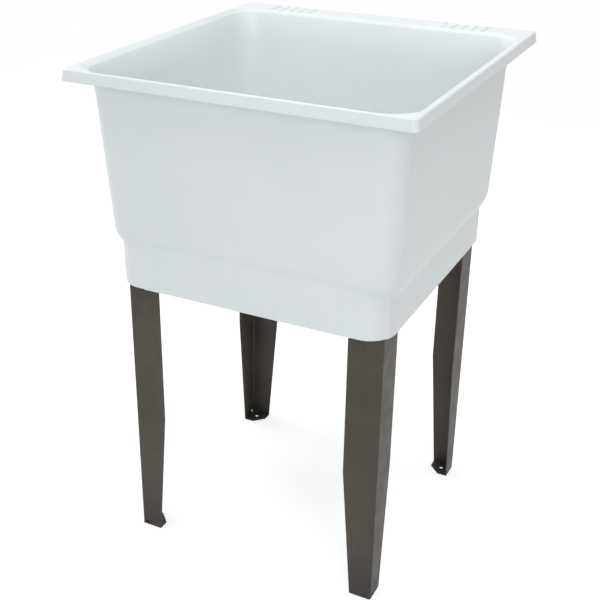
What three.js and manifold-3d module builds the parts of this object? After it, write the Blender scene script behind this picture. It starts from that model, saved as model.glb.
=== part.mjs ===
// Floor-standing utility laundry sink: one deep moulded tub on four pressed steel legs,
// with a screwed drain fitting and a rubber stopper.
//
// Millimetres, +Z up. The origin is on the floor under the centre of the rim.
// +X is the right-hand side of a user, +Y runs back to the wall.

import * as THREE from 'three';
import { mergeVertices } from 'three/addons/utils/BufferGeometryUtils.js';
import Module from 'manifold-3d';

const wasm = await Module();
wasm.setup();

// ---------------------------------------------------------------- driving sizes

// Whole sink
const TUB_WIDTH = 572;
const TUB_DEPTH = 602;
const TUB_HEIGHT = 363.5;
const LEG_LENGTH = 552;
const LEG_SOCKET_DEPTH = 44.5;
const SEAT_GAP = 0.3;

// Rim: it falls a little toward the bowl, and an apron turns down round it
const WALL = 4.5;
const APRON_DROP = 18;
const APRON_FLARE = 2.5;
const RIM_EDGE_RADIUS = 3;
const RIM_FLAT = 1;
const RIM_OVERHANG = 23.5;
const DECK_OVERHANG = 57;
const RIM_FALL = 5.5;
const RIM_SLOPE_WIDTH = 12;
const DECK_SLOPE_WIDTH = 8;
const DECK_LIP_ROLL = 6;
const LIP_HEIGHT = 35;
const FRONT_CORNER_RADIUS = 10;
const BACK_CORNER_RADIUS = 8;

// Soap rests: grooves pressed into the deck, in two groups
const GROOVES_PER_REST = 5;
const GROOVE_PITCH = 18.6;
const GROOVE_WIDTH = 11.5;
const GROOVE_LENGTH = 40;
const GROOVE_DEPTH = 2.2;
const GROOVE_CORNER = 2;
const GROOVE_TO_BACK = 7;
const REST_FROM_CENTRE = 166.7;

// Bowl
const FLOOR_BELOW_LEG_TOP = 3;
const SIDE_DRAFT = 2.3;
const FRONT_DRAFT = 4;
const BACK_DRAFT = 1.5;
const BOWL_CORNER_RADIUS = 43;
const FLOOR_CORNER_RADIUS = 58;
const BOWL_FILLET = 65;
const FLOOR_FALL = 4;
const DRAIN_RECESS_RADIUS = 46;
const DRAIN_RECESS_DEPTH = 6;

// Hollow skirt under the bowl, which takes the legs; it runs up into the bowl's lower turn
const SKIRT_STEP = 22;
const SKIRT_WALL = 3;
const SKIRT_FRONT_RADIUS = 45;
const SKIRT_BACK_RADIUS = 33;
const LEG_PANEL_WIDTH = 57;
const LEG_PANEL_FROM_SIDE = 6;
const LEG_PANEL_REACH = 30;
const LEG_PANEL_DEPTH = 1.4;

// Legs: pressed angle, tapered below a kink
const LEG_SIDE_INSET = 10.5;
const LEG_FRONT_INSET = 24;
const LEG_BACK_INSET = 12;
const LEG_THICKNESS = 2;
const LEG_BEND_RADIUS = 4;
const FLANGE_WIDTH = 59;
const FLANGE_FOOT_WIDTH = 39;
const KINK_HEIGHT = 245;
const FOOT_CHAMFER = 20;
const FOOT_HOLE = 7.5;
const FOOT_HOLE_INSET = 18;
const RELIEF_HOLE = 4.4;
const RELIEF_HOLE_INSET = 9.5;
const RELIEF_HOLE_HEIGHT = 5.5;

// Leg screws, driven from inside the skirt into moulded bosses
const SCREW_BELOW_TOP = 22;
const SCREW_FROM_CORNER = 32;
const SCREW_SHANK = 4.8;
const SCREW_LENGTH = 10;
const SCREW_HEAD_ACROSS = 8;
const SCREW_HEAD_HEIGHT = 4.5;
const SCREW_COLLAR = 12.5;
const SCREW_COLLAR_HEIGHT = 1.2;
const BOSS_DIAMETER = 17;
const STOP_RIB_THICKNESS = 4;
const STOP_RIB_REACH = 12;
const STOP_RIB_PLACES = [18, 48];

// Drain fitting
const DRAIN_HOLE = 49.5;
const BODY_DIAMETER = 47.5;
const BODY_BORE = 40;
const BODY_LENGTH = 48;
const BODY_FLANGE = 82;
const BODY_FLANGE_THICKNESS = 3;
const BODY_FLANGE_BEVEL = 1;
const SEAT_BEVEL = 2;
const SEAT_MOUTH = 46;
const SEAT_DEPTH = 12;
const STRAINER_DEPTH = 22;
const STRAINER_BAR = 3;
const STRAINER_HEIGHT = 4;
const GASKET_DIAMETER = 74;
const GASKET_THICKNESS = 3;
const WASHER_DIAMETER = 70;
const WASHER_THICKNESS = 1;
const LOCKNUT_DIAMETER = 60;
const LOCKNUT_HEIGHT = 9;
const LOCKNUT_LUGS = 6;
const LUG_REACH = 4;
const LUG_WIDTH = 9;
const TAIL_DIAMETER = 38.1;
const TAIL_WALL = 1.6;
const TAIL_LENGTH = 102;
const TAIL_FLANGE = 46;
const TAIL_FLANGE_THICKNESS = 2;
const TAIL_WASHER_THICKNESS = 2.2;
const COUPLING_ACROSS = 54;
const COUPLING_TURNED = 58.3;
const COUPLING_HEIGHT = 22;
const COUPLING_LIP = 3;

// Rubber stopper
const STOPPER_RIM = 52;
const STOPPER_RIM_THICKNESS = 2.5;
const STOPPER_PLUG_DEPTH = 11;
const STOPPER_GRIP = 17;
const STOPPER_NECK = 8;
const STOPPER_GRIP_HEIGHT = 13;
const STOPPER_RIM_BEVEL = 1;
const STOPPER_GRIP_BEVEL = 2;

// Smoothness of curves, in steps
const CORNER_STEPS = 9;
const FILLET_STEPS = 8;
const LIP_STEPS = 5;
const EDGE_STEPS = 3;
const ROUND_STEPS = 40;
const HOLE_STEPS = 20;
const CUT_MARGIN = 2;

// ---------------------------------------------------------------- materials

const PLASTIC = { color: 0xe9eff0, roughness: 0.28, metalness: 0 };
const BRONZE_PAINT = { color: 0x4b4641, roughness: 0.5, metalness: 0.2 };
const PLATED = { color: 0xb9bcbd, roughness: 0.3, metalness: 1 };
const STEEL_SHEET = { color: 0xc9ccce, roughness: 0.2, metalness: 1 };
const RUBBER = { color: 0x1e1e1f, roughness: 0.8, metalness: 0 };
const WHITE_NYLON = { color: 0xe4e4de, roughness: 0.45, metalness: 0 };

// ---------------------------------------------------------------- worked-out places

const rimHalf = TUB_WIDTH / 2;
const rimFront = -TUB_DEPTH / 2;
const rimBack = TUB_DEPTH / 2;
const bowlHalf = rimHalf - RIM_OVERHANG;
const bowlFront = rimFront + RIM_OVERHANG;
const bowlBack = rimBack - DECK_OVERHANG;
const bowlCentreY = (bowlFront + bowlBack) / 2;
const lipRoll = RIM_OVERHANG + WALL - APRON_FLARE - RIM_EDGE_RADIUS - RIM_FLAT - RIM_SLOPE_WIDTH;

const skirtBottom = LEG_LENGTH - LEG_SOCKET_DEPTH;
const rimHeight = skirtBottom + TUB_HEIGHT;
const rimInnerHeight = rimHeight - RIM_FALL;
const floorTop = LEG_LENGTH - FLOOR_BELOW_LEG_TOP;
const recessTop = floorTop - FLOOR_FALL - DRAIN_RECESS_DEPTH;
const recessUnder = recessTop - WALL;

const skirtHalf = bowlHalf - SKIRT_STEP;
const skirtFront = bowlFront + SKIRT_STEP;
const skirtBack = bowlBack - SKIRT_STEP;
const skirtTop = floorTop - WALL + BOWL_FILLET;

const legX = skirtHalf - LEG_SIDE_INSET;
const legFrontY = skirtFront + LEG_FRONT_INSET;
const legBackY = skirtBack - LEG_BACK_INSET;
const screwHeight = LEG_LENGTH - SCREW_BELOW_TOP;
const screwHole = SCREW_SHANK + 2 * SEAT_GAP;

// Each leg's outer corner: its side of the sink (sideX, sideY) and the skirt face beyond it.
const LEG_PLACES = [
  { name: 'rear_right', sideX: 1, sideY: 1, x: legX, y: legBackY, skirtY: skirtBack, turn: 0 },
  { name: 'rear_left', sideX: -1, sideY: 1, x: -legX, y: legBackY, skirtY: skirtBack, turn: 90 },
  { name: 'front_left', sideX: -1, sideY: -1, x: -legX, y: legFrontY, skirtY: skirtFront, turn: 180 },
  { name: 'front_right', sideX: 1, sideY: -1, x: legX, y: legFrontY, skirtY: skirtFront, turn: 270 },
];

// ---------------------------------------------------------------- geometry tools

const radians = THREE.MathUtils.degToRad;

/** A closed three.js geometry as a solid for adding and cutting. */
function solid(geometry) {
  const bare = geometry.index ? geometry.toNonIndexed() : geometry.clone();
  bare.deleteAttribute('normal');
  bare.deleteAttribute('uv');
  const merged = mergeVertices(bare, 1e-4);
  return new wasm.Manifold(new wasm.Mesh({
    numProp: 3,
    vertProperties: new Float32Array(merged.attributes.position.array),
    triVerts: new Uint32Array(merged.index.array),
  }));
}

/** A solid's surface as a three.js geometry. */
function surface(body) {
  const mesh = body.getMesh();
  const geometry = new THREE.BufferGeometry();
  geometry.setAttribute('position', new THREE.BufferAttribute(mesh.vertProperties, 3));
  geometry.setIndex(new THREE.BufferAttribute(mesh.triVerts, 1));
  geometry.computeVertexNormals();
  return geometry;
}

/** A named piece in its finish. */
function piece(name, body, finish) {
  const mesh = new THREE.Mesh(surface(body), new THREE.MeshStandardMaterial(finish));
  mesh.name = name;
  return mesh;
}

/** A box from its lowest to its highest corner. */
function block(low, high) {
  const geometry = new THREE.BoxGeometry(high[0] - low[0], high[1] - low[1], high[2] - low[2]);
  geometry.translate((low[0] + high[0]) / 2, (low[1] + high[1]) / 2, (low[2] + high[2]) / 2);
  return solid(geometry);
}

/** An upright cylinder between two heights. */
function rod(diameter, bottom, top, steps = ROUND_STEPS) {
  const geometry = new THREE.CylinderGeometry(diameter / 2, diameter / 2, top - bottom, steps);
  geometry.rotateX(Math.PI / 2);
  geometry.translate(0, 0, (bottom + top) / 2);
  return solid(geometry);
}

/** A turned piece: its section as [radius, height] points, first point lowest on the outside. */
function turned(section, steps = ROUND_STEPS) {
  const points = section.map(([radius, height]) => new THREE.Vector2(radius, height));
  points.push(points[0].clone());
  const geometry = new THREE.LatheGeometry(points, steps);
  geometry.rotateX(Math.PI / 2);
  return solid(geometry);
}

/** A flat outline extruded upward from a height. */
function plate(shape, bottom, height, curveSegments = 6) {
  const geometry = new THREE.ExtrudeGeometry(shape, { depth: height, bevelEnabled: false, curveSegments });
  geometry.translate(0, 0, bottom);
  return solid(geometry);
}

/** One level of a loft: a rounded rectangle, anticlockwise from its front left corner. */
function levelPoints(level) {
  const corners = [
    [-1, -1, level.frontRadius, 180],
    [1, -1, level.frontRadius, 270],
    [1, 1, level.backRadius, 0],
    [-1, 1, level.backRadius, 90],
  ];
  const points = [];
  for (const [sideX, sideY, radius, startDegrees] of corners) {
    const centreX = sideX * (level.half - radius);
    const centreY = sideY > 0 ? level.back - radius : level.front + radius;
    for (let step = 0; step <= CORNER_STEPS; step += 1) {
      const angle = radians(startDegrees + (90 * step) / CORNER_STEPS);
      points.push([centreX + radius * Math.cos(angle), centreY + radius * Math.sin(angle), level.z]);
    }
  }
  return points;
}

/** A closed solid skinned over levels given from the lowest to the highest. */
function loft(levels) {
  const rings = levels.map(levelPoints);
  const count = rings[0].length;
  const positions = rings.flat();
  const indices = [];
  for (let ring = 0; ring < rings.length - 1; ring += 1) {
    for (let point = 0; point < count; point += 1) {
      const next = (point + 1) % count;
      const low = ring * count;
      const high = low + count;
      indices.push(low + point, low + next, high + next, low + point, high + next, high + point);
    }
  }
  for (const isTop of [false, true]) {
    const level = levels[isTop ? levels.length - 1 : 0];
    const start = isTop ? (rings.length - 1) * count : 0;
    const centre = positions.length;
    positions.push([0, (level.front + level.back) / 2, level.z]);
    for (let point = 0; point < count; point += 1) {
      const here = start + point;
      const next = start + ((point + 1) % count);
      indices.push(...(isTop ? [centre, here, next] : [centre, next, here]));
    }
  }
  const geometry = new THREE.BufferGeometry();
  geometry.setAttribute('position', new THREE.Float32BufferAttribute(positions.flat(), 3));
  geometry.setIndex(indices);
  return solid(geometry);
}

/** The same level drawn in on every side. */
function drawnIn(level, inset, radiusLoss = inset) {
  return {
    z: level.z,
    half: level.half - inset,
    front: level.front + inset,
    back: level.back - inset,
    frontRadius: Math.max(level.frontRadius - radiusLoss, 1),
    backRadius: Math.max(level.backRadius - radiusLoss, 1),
  };
}

// ---------------------------------------------------------------- bowl

/** The bowl's wall at a height; depthIn is 0 on its outside and WALL on its inside. */
function bowlWall(z, depthIn) {
  const below = rimHeight - z;
  const level = {
    z,
    half: bowlHalf - below * Math.tan(radians(SIDE_DRAFT)),
    front: bowlFront + below * Math.tan(radians(FRONT_DRAFT)),
    back: bowlBack - below * Math.tan(radians(BACK_DRAFT)),
    frontRadius: BOWL_CORNER_RADIUS,
    backRadius: BOWL_CORNER_RADIUS,
  };
  return drawnIn(level, depthIn);
}

/** How far the wall has rolled outward at a height, on its way to fullRoll at the rim. */
function rolledOut(z, fullRoll, depthIn) {
  const rolled = (fullRoll ** 2 + LIP_HEIGHT ** 2) / (2 * fullRoll) - WALL + depthIn;
  const rise = Math.max(z - (rimInnerHeight - LIP_HEIGHT), 0);
  return rolled - Math.sqrt(rolled ** 2 - rise ** 2);
}

/** The bowl's wall where it rolls out to the rim, more at the sides than at the deck. */
function rolledWall(z, depthIn) {
  const wall = bowlWall(z, depthIn);
  const sideRoll = rolledOut(z, lipRoll, depthIn);
  const deckRoll = rolledOut(z, DECK_LIP_ROLL, depthIn);
  return {
    z,
    half: wall.half + sideRoll,
    front: wall.front - sideRoll,
    back: wall.back + deckRoll,
    frontRadius: wall.frontRadius + sideRoll,
    backRadius: wall.backRadius + (sideRoll + deckRoll) / 2,
  };
}

/** The rounded turn from the wall into the floor, from the floor upward. */
function filletLevels(depthIn) {
  const radius = BOWL_FILLET - depthIn;
  const floor = floorTop - WALL + depthIn;
  const start = bowlWall(floor + radius, depthIn);
  const levels = [];
  for (let step = FILLET_STEPS; step >= 0; step -= 1) {
    const angle = radians((90 * step) / FILLET_STEPS);
    const level = drawnIn(start, radius * (1 - Math.cos(angle)), 0);
    level.z = start.z - radius * Math.sin(angle);
    level.frontRadius += (FLOOR_CORNER_RADIUS - BOWL_CORNER_RADIUS) * (1 - Math.cos(angle));
    level.backRadius = level.frontRadius;
    levels.push(level);
  }
  return levels;
}

/** The lip's levels, from where its roll starts to the rim's inner edge or into its slope. */
function lipLevels(depthIn) {
  const height = LIP_HEIGHT - (WALL - depthIn) / 4;
  const levels = [];
  for (let step = 0; step <= LIP_STEPS; step += 1) {
    levels.push(rolledWall(rimInnerHeight - LIP_HEIGHT + (height * step) / LIP_STEPS, depthIn));
  }
  return levels;
}

/** The rim's sloping top, from its inner edge up to its flat, both lowered by a thickness. */
function rimSlope(thickness) {
  const inner = rolledWall(rimInnerHeight, WALL);
  const outer = drawnIn(inner, -RIM_SLOPE_WIDTH);
  outer.back = inner.back + DECK_SLOPE_WIDTH;
  return [{ ...inner, z: rimInnerHeight - thickness }, { ...outer, z: rimHeight - thickness }];
}

/** A round level about the bowl's centre. */
function roundLevel(radius, z) {
  return {
    z,
    half: radius,
    front: bowlCentreY - radius,
    back: bowlCentreY + radius,
    frontRadius: radius,
    backRadius: radius,
  };
}

/** The bowl's outside, from the drain recess to the underside of the rim. */
function bowlOutside() {
  const radius = DRAIN_RECESS_RADIUS + WALL;
  return loft([
    roundLevel(radius, recessUnder),
    roundLevel(radius, floorTop - FLOOR_FALL - WALL),
    ...filletLevels(0),
    ...lipLevels(0),
  ]);
}

/** The space inside the bowl, with its sloping floor and the recess for the drain flange. */
function bowlInside() {
  const [innerEdge, flatEdge] = rimSlope(0);
  return loft([
    roundLevel(DRAIN_RECESS_RADIUS, recessTop),
    roundLevel(DRAIN_RECESS_RADIUS, floorTop - FLOOR_FALL),
    ...filletLevels(WALL),
    ...lipLevels(WALL).slice(0, -1),
    innerEdge,
    flatEdge,
    { ...flatEdge, z: rimHeight + CUT_MARGIN },
  ]);
}

// ---------------------------------------------------------------- rim

/** The rim's outline; the apron flares outward toward its lower edge. */
function rimLevel(z, inset, radiusLoss) {
  const level = {
    z,
    half: rimHalf,
    front: rimFront,
    back: rimBack,
    frontRadius: FRONT_CORNER_RADIUS,
    backRadius: BACK_CORNER_RADIUS,
  };
  return drawnIn(level, inset, radiusLoss);
}

/** The rim as a full slab with a rounded top edge. */
function rimSlab() {
  const levels = [rimLevel(rimHeight - APRON_DROP, 0, 0)];
  for (let step = 0; step <= EDGE_STEPS; step += 1) {
    const angle = radians((90 * step) / EDGE_STEPS);
    const turn = RIM_EDGE_RADIUS * (1 - Math.cos(angle));
    const z = rimHeight - RIM_EDGE_RADIUS * (1 - Math.sin(angle));
    levels.push(rimLevel(z, APRON_FLARE + turn, turn));
  }
  return loft(levels);
}

/** The hollow under the rim, between the apron and the bowl; its roof follows the slope. */
function rimHollow() {
  const flarePerMm = APRON_FLARE / (APRON_DROP - RIM_EDGE_RADIUS);
  const below = rimHeight - APRON_DROP - CUT_MARGIN;
  const top = rimHeight - WALL;
  const [innerEdge, flatEdge] = rimSlope(WALL);
  return loft([
    rimLevel(below, WALL - CUT_MARGIN * flarePerMm, WALL),
    rimLevel(top, WALL + (APRON_DROP - WALL) * flarePerMm, WALL),
  ]).subtract(loft([innerEdge, flatEdge, { ...flatEdge, z: rimHeight }]));
}

/** The cutters of one soap rest: a row of grooves that run toward the bowl. */
function soapRestGrooves(centreX) {
  const cutters = [];
  const halfWidth = GROOVE_WIDTH / 2;
  const back = rimBack - GROOVE_TO_BACK;
  const front = back - GROOVE_LENGTH;
  for (let index = 0; index < GROOVES_PER_REST; index += 1) {
    const x = centreX + (index - (GROOVES_PER_REST - 1) / 2) * GROOVE_PITCH;
    const shape = roundedRectangle(x - halfWidth, front, x + halfWidth, back, GROOVE_CORNER);
    cutters.push(plate(shape, rimHeight - GROOVE_DEPTH, GROOVE_DEPTH + CUT_MARGIN, 2));
  }
  return cutters;
}

/** A rectangle's outline with rounded corners. */
function roundedRectangle(left, front, right, back, radius) {
  const shape = new THREE.Shape();
  shape.absarc(left + radius, front + radius, radius, Math.PI, 1.5 * Math.PI, false);
  shape.absarc(right - radius, front + radius, radius, 1.5 * Math.PI, 2 * Math.PI, false);
  shape.absarc(right - radius, back - radius, radius, 0, 0.5 * Math.PI, false);
  shape.absarc(left + radius, back - radius, radius, 0.5 * Math.PI, Math.PI, false);
  shape.closePath();
  return shape;
}

// ---------------------------------------------------------------- skirt

/** The skirt's outline at a height, drawn in by an inset. */
function skirtLevel(z, inset) {
  const level = {
    z,
    half: skirtHalf,
    front: skirtFront,
    back: skirtBack,
    frontRadius: SKIRT_FRONT_RADIUS,
    backRadius: SKIRT_BACK_RADIUS,
  };
  return drawnIn(level, inset);
}

/** The skirt's outline drawn in by an inset, as a full block that runs beyond both its ends. */
function skirtBlock(inset, beyond = 0) {
  return loft([skirtLevel(skirtBottom - beyond, inset), skirtLevel(skirtTop + beyond, inset)]);
}

/** What is cut off the skirt's front over a leg, so that a shallow panel turns the corner there. */
function legPanelCutter(side) {
  const edges = [side * (skirtHalf - LEG_PANEL_WIDTH), side * (skirtHalf - LEG_PANEL_FROM_SIDE)];
  return block(
    [Math.min(...edges), skirtFront - CUT_MARGIN, skirtBottom - CUT_MARGIN],
    [Math.max(...edges), skirtFront + LEG_PANEL_REACH, skirtTop + CUT_MARGIN],
  ).subtract(skirtBlock(LEG_PANEL_DEPTH, 2 * CUT_MARGIN));
}

/** The skirt: a wall round the legs' tops, open below, with its leg panels. */
function skirt() {
  return skirtBlock(0)
    .subtract(skirtBlock(SKIRT_WALL, CUT_MARGIN))
    .subtract(legPanelCutter(-1))
    .subtract(legPanelCutter(1));
}

/** A moulded boss from the skirt's inner face to a leg's flange, with its pilot hole. */
function screwBoss(wallFace, flangeFace, across, alongY) {
  const outward = Math.sign(wallFace);
  const length = Math.abs(wallFace - flangeFace) - SEAT_GAP;
  const round = rod(BOSS_DIAMETER, 0, length + SKIRT_WALL / 2, HOLE_STEPS);
  const pilotDepth = SCREW_LENGTH - LEG_THICKNESS + SEAT_GAP;
  const pilot = rod(screwHole, -CUT_MARGIN, pilotDepth, HOLE_STEPS);
  const start = flangeFace + outward * SEAT_GAP;
  const place = (body) => (alongY
    ? body.rotate([-90 * outward, 0, 0]).translate([across, start, screwHeight])
    : body.rotate([0, 90 * outward, 0]).translate([start, across, screwHeight]));
  return { boss: place(round), pilot: place(pilot) };
}

/** The two bosses of one leg. */
function legBosses(leg) {
  const wallX = leg.sideX * (skirtHalf - SKIRT_WALL);
  const wallY = leg.skirtY - leg.sideY * SKIRT_WALL;
  return [
    screwBoss(wallY, leg.y, leg.x - leg.sideX * SCREW_FROM_CORNER, true),
    screwBoss(wallX, leg.x, leg.y - leg.sideY * SCREW_FROM_CORNER, false),
  ];
}

/** The thin ribs that stop a leg's top edge and carry the tub on it. */
function legStopRibs(leg) {
  const bottom = LEG_LENGTH + SEAT_GAP;
  const top = skirtTop;
  const halfRib = STOP_RIB_THICKNESS / 2;
  const ribs = [];
  const wallX = leg.sideX * (skirtHalf - SKIRT_WALL / 2);
  const wallY = leg.skirtY - leg.sideY * (SKIRT_WALL / 2);
  for (const place of STOP_RIB_PLACES) {
    const x = leg.x - leg.sideX * place;
    const y = leg.y - leg.sideY * place;
    const innerX = leg.x - leg.sideX * STOP_RIB_REACH;
    const innerY = leg.y - leg.sideY * STOP_RIB_REACH;
    ribs.push(block(
      [x - halfRib, Math.min(wallY, innerY), bottom],
      [x + halfRib, Math.max(wallY, innerY), top],
    ));
    ribs.push(block(
      [Math.min(wallX, innerX), y - halfRib, bottom],
      [Math.max(wallX, innerX), y + halfRib, top],
    ));
  }
  return ribs;
}

// ---------------------------------------------------------------- tub

function tub() {
  const rim = rimSlab().subtract(rimHollow());
  const bosses = LEG_PLACES.flatMap(legBosses);
  const ribs = LEG_PLACES.flatMap(legStopRibs);
  let body = bowlOutside().add(rim).add(skirt());
  for (const part of [...ribs, ...bosses.map((entry) => entry.boss)]) {
    body = body.add(part);
  }
  const cutters = [
    bowlInside(),
    rod(DRAIN_HOLE, recessUnder - CUT_MARGIN, recessTop + CUT_MARGIN).translate([0, bowlCentreY, 0]),
    ...soapRestGrooves(-REST_FROM_CENTRE),
    ...soapRestGrooves(REST_FROM_CENTRE),
    ...bosses.map((entry) => entry.pilot),
  ];
  for (const cutter of cutters) {
    body = body.subtract(cutter);
  }
  return piece('tub', body, PLASTIC);
}

// ---------------------------------------------------------------- legs

/** The angle section of a leg: its outer corner is at the origin, its flanges run to -X and -Y. */
function legSection() {
  const outer = LEG_BEND_RADIUS;
  const inner = LEG_BEND_RADIUS - LEG_THICKNESS;
  const shape = new THREE.Shape();
  shape.moveTo(-FLANGE_WIDTH, 0);
  shape.lineTo(-FLANGE_WIDTH, -LEG_THICKNESS);
  shape.lineTo(-outer, -LEG_THICKNESS);
  shape.absarc(-outer, -outer, inner, 0.5 * Math.PI, 0, true);
  shape.lineTo(-LEG_THICKNESS, -FLANGE_WIDTH);
  shape.lineTo(0, -FLANGE_WIDTH);
  shape.lineTo(0, -outer);
  shape.absarc(-outer, -outer, outer, 0, 0.5 * Math.PI, false);
  shape.closePath();
  return shape;
}

/** What is cut off a flange's free edge between the kink and the foot. */
function taperCutter() {
  const slope = (FLANGE_WIDTH - FLANGE_FOOT_WIDTH) / KINK_HEIGHT;
  const beyond = FLANGE_WIDTH + CUT_MARGIN;
  const shape = new THREE.Shape();
  shape.moveTo(beyond, KINK_HEIGHT + CUT_MARGIN / slope);
  shape.lineTo(FLANGE_FOOT_WIDTH - slope * CUT_MARGIN, -CUT_MARGIN);
  shape.lineTo(beyond, -CUT_MARGIN);
  shape.closePath();
  return plate(shape, 0, FLANGE_WIDTH);
}

/** The foot tab folded inward under the angle, its inner corner cut off, with the floor hole. */
function footTab() {
  const edge = FLANGE_FOOT_WIDTH;
  const overlap = LEG_THICKNESS / 2;
  const shape = new THREE.Shape();
  shape.moveTo(-overlap, -overlap);
  shape.lineTo(-edge, -overlap);
  shape.lineTo(-edge, -(edge - FOOT_CHAMFER));
  shape.lineTo(-(edge - FOOT_CHAMFER), -edge);
  shape.lineTo(-overlap, -edge);
  shape.closePath();
  const hole = rod(FOOT_HOLE, -CUT_MARGIN, LEG_THICKNESS + CUT_MARGIN, HOLE_STEPS);
  return plate(shape, 0, LEG_THICKNESS)
    .subtract(hole.translate([-FOOT_HOLE_INSET, -FOOT_HOLE_INSET, 0]));
}

/** A hole through the flange that lies along X, at a distance from the corner. */
function flangeHole(diameter, fromCorner, height) {
  return rod(diameter, -CUT_MARGIN, LEG_THICKNESS + CUT_MARGIN, HOLE_STEPS)
    .rotate([90, 0, 0])
    .translate([-fromCorner, 0, height]);
}

/** One leg, standing at the origin with its outer corner on the Z axis. */
function legBody() {
  const alongX = taperCutter().rotate([90, 0, 0]).rotate([0, 0, 180]);
  const mirrored = [1, -1, 0];
  const holeInX = flangeHole(screwHole, SCREW_FROM_CORNER, screwHeight);
  return plate(legSection(), 0, LEG_LENGTH)
    .subtract(alongX.translate([0, -FLANGE_WIDTH / 2, 0]))
    .subtract(alongX.translate([0, -FLANGE_WIDTH / 2, 0]).mirror(mirrored))
    .subtract(holeInX)
    .subtract(holeInX.mirror(mirrored))
    .subtract(flangeHole(RELIEF_HOLE, RELIEF_HOLE_INSET, RELIEF_HOLE_HEIGHT))
    .add(footTab());
}

function leg(place) {
  const mesh = piece(`leg_${place.name}`, legBody(), BRONZE_PAINT);
  mesh.position.set(place.x, place.y, 0);
  mesh.rotation.z = radians(place.turn);
  return mesh;
}

// ---------------------------------------------------------------- leg screws

/** A hex washer-head screw along Z: its collar's underside is at the origin, its tip below. */
function screwBody() {
  const headRadius = SCREW_HEAD_ACROSS / Math.sqrt(3);
  const shank = rod(SCREW_SHANK, -SCREW_LENGTH, CUT_MARGIN / 2, HOLE_STEPS);
  const collar = rod(SCREW_COLLAR, 0, SCREW_COLLAR_HEIGHT, HOLE_STEPS);
  const head = rod(2 * headRadius, SCREW_COLLAR_HEIGHT / 2, SCREW_HEAD_HEIGHT, 6);
  return shank.add(collar).add(head);
}

/** The two screws of one leg, driven outward through its flanges. */
function legScrews(place) {
  const inward = LEG_THICKNESS + SEAT_GAP;
  const faceScrew = piece(`leg_screw_${place.name}_face`, screwBody(), PLATED);
  faceScrew.position.set(
    place.x - place.sideX * SCREW_FROM_CORNER,
    place.y - place.sideY * inward,
    screwHeight,
  );
  faceScrew.rotation.x = radians(90 * place.sideY);
  const sideScrew = piece(`leg_screw_${place.name}_side`, screwBody(), PLATED);
  sideScrew.position.set(
    place.x - place.sideX * inward,
    place.y - place.sideY * SCREW_FROM_CORNER,
    screwHeight,
  );
  sideScrew.rotation.y = radians(-90 * place.sideX);
  return [faceScrew, sideScrew];
}

// ---------------------------------------------------------------- drain

// Heights down the drain, from the flange in the recess to the tailpiece's end.
const flangeUnder = recessTop + SEAT_GAP;
const flangeTop = flangeUnder + BODY_FLANGE_THICKNESS;
const bodyEnd = flangeUnder - BODY_LENGTH;
const gasketTop = recessUnder - SEAT_GAP;
const gasketUnder = gasketTop - GASKET_THICKNESS;
const washerTop = gasketUnder - SEAT_GAP;
const washerUnder = washerTop - WASHER_THICKNESS;
const locknutTop = washerUnder - SEAT_GAP;
const locknutUnder = locknutTop - LOCKNUT_HEIGHT;
const tailWasherTop = bodyEnd - SEAT_GAP;
const tailWasherUnder = tailWasherTop - TAIL_WASHER_THICKNESS;
const tailTop = tailWasherUnder - SEAT_GAP;
const tailFlangeUnder = tailTop - TAIL_FLANGE_THICKNESS;
const couplingLipTop = tailFlangeUnder - SEAT_GAP;
const threadClear = BODY_DIAMETER + 2 * SEAT_GAP;
const tailClear = TAIL_DIAMETER + 2 * SEAT_GAP;

/** A plain ring between two heights. */
function ring(outer, inner, bottom, top) {
  return turned([
    [inner / 2, bottom],
    [outer / 2, bottom],
    [outer / 2, top],
    [inner / 2, top],
  ]);
}

/** The drain body: a flanged sleeve with the stopper's seat and a strainer cross. */
function drainBody() {
  const sleeve = turned([
    [BODY_BORE / 2, bodyEnd],
    [BODY_DIAMETER / 2, bodyEnd],
    [BODY_DIAMETER / 2, flangeUnder],
    [BODY_FLANGE / 2, flangeUnder],
    [BODY_FLANGE / 2 - BODY_FLANGE_BEVEL, flangeTop - BODY_FLANGE_BEVEL],
    [SEAT_MOUTH / 2 + SEAT_BEVEL, flangeTop],
    [SEAT_MOUTH / 2, flangeTop],
    [BODY_BORE / 2, flangeTop - SEAT_DEPTH],
  ]);
  const crossTop = flangeTop - STRAINER_DEPTH;
  const reach = (BODY_BORE + BODY_DIAMETER) / 4;
  const bar = block(
    [-reach, -STRAINER_BAR / 2, crossTop - STRAINER_HEIGHT],
    [reach, STRAINER_BAR / 2, crossTop],
  );
  return sleeve.add(bar).add(bar.rotate([0, 0, 90]));
}

/** The locknut: a ring with lugs round it for a spanner. */
function locknut() {
  let body = ring(LOCKNUT_DIAMETER, threadClear, locknutUnder, locknutTop);
  const inside = LOCKNUT_DIAMETER / 2 - LUG_REACH / 2;
  const lug = block(
    [inside, -LUG_WIDTH / 2, locknutUnder],
    [LOCKNUT_DIAMETER / 2 + LUG_REACH, LUG_WIDTH / 2, locknutTop],
  );
  for (let index = 0; index < LOCKNUT_LUGS; index += 1) {
    body = body.add(lug.rotate([0, 0, (360 * index) / LOCKNUT_LUGS]));
  }
  return body;
}

/** The tailpiece: a thin tube hung by its rolled flange. */
function tailpiece() {
  return turned([
    [TAIL_DIAMETER / 2 - TAIL_WALL, tailTop - TAIL_LENGTH],
    [TAIL_DIAMETER / 2, tailTop - TAIL_LENGTH],
    [TAIL_DIAMETER / 2, tailFlangeUnder],
    [TAIL_FLANGE / 2, tailFlangeUnder],
    [TAIL_FLANGE / 2, tailTop],
    [TAIL_DIAMETER / 2 - TAIL_WALL, tailTop],
  ]);
}

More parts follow.
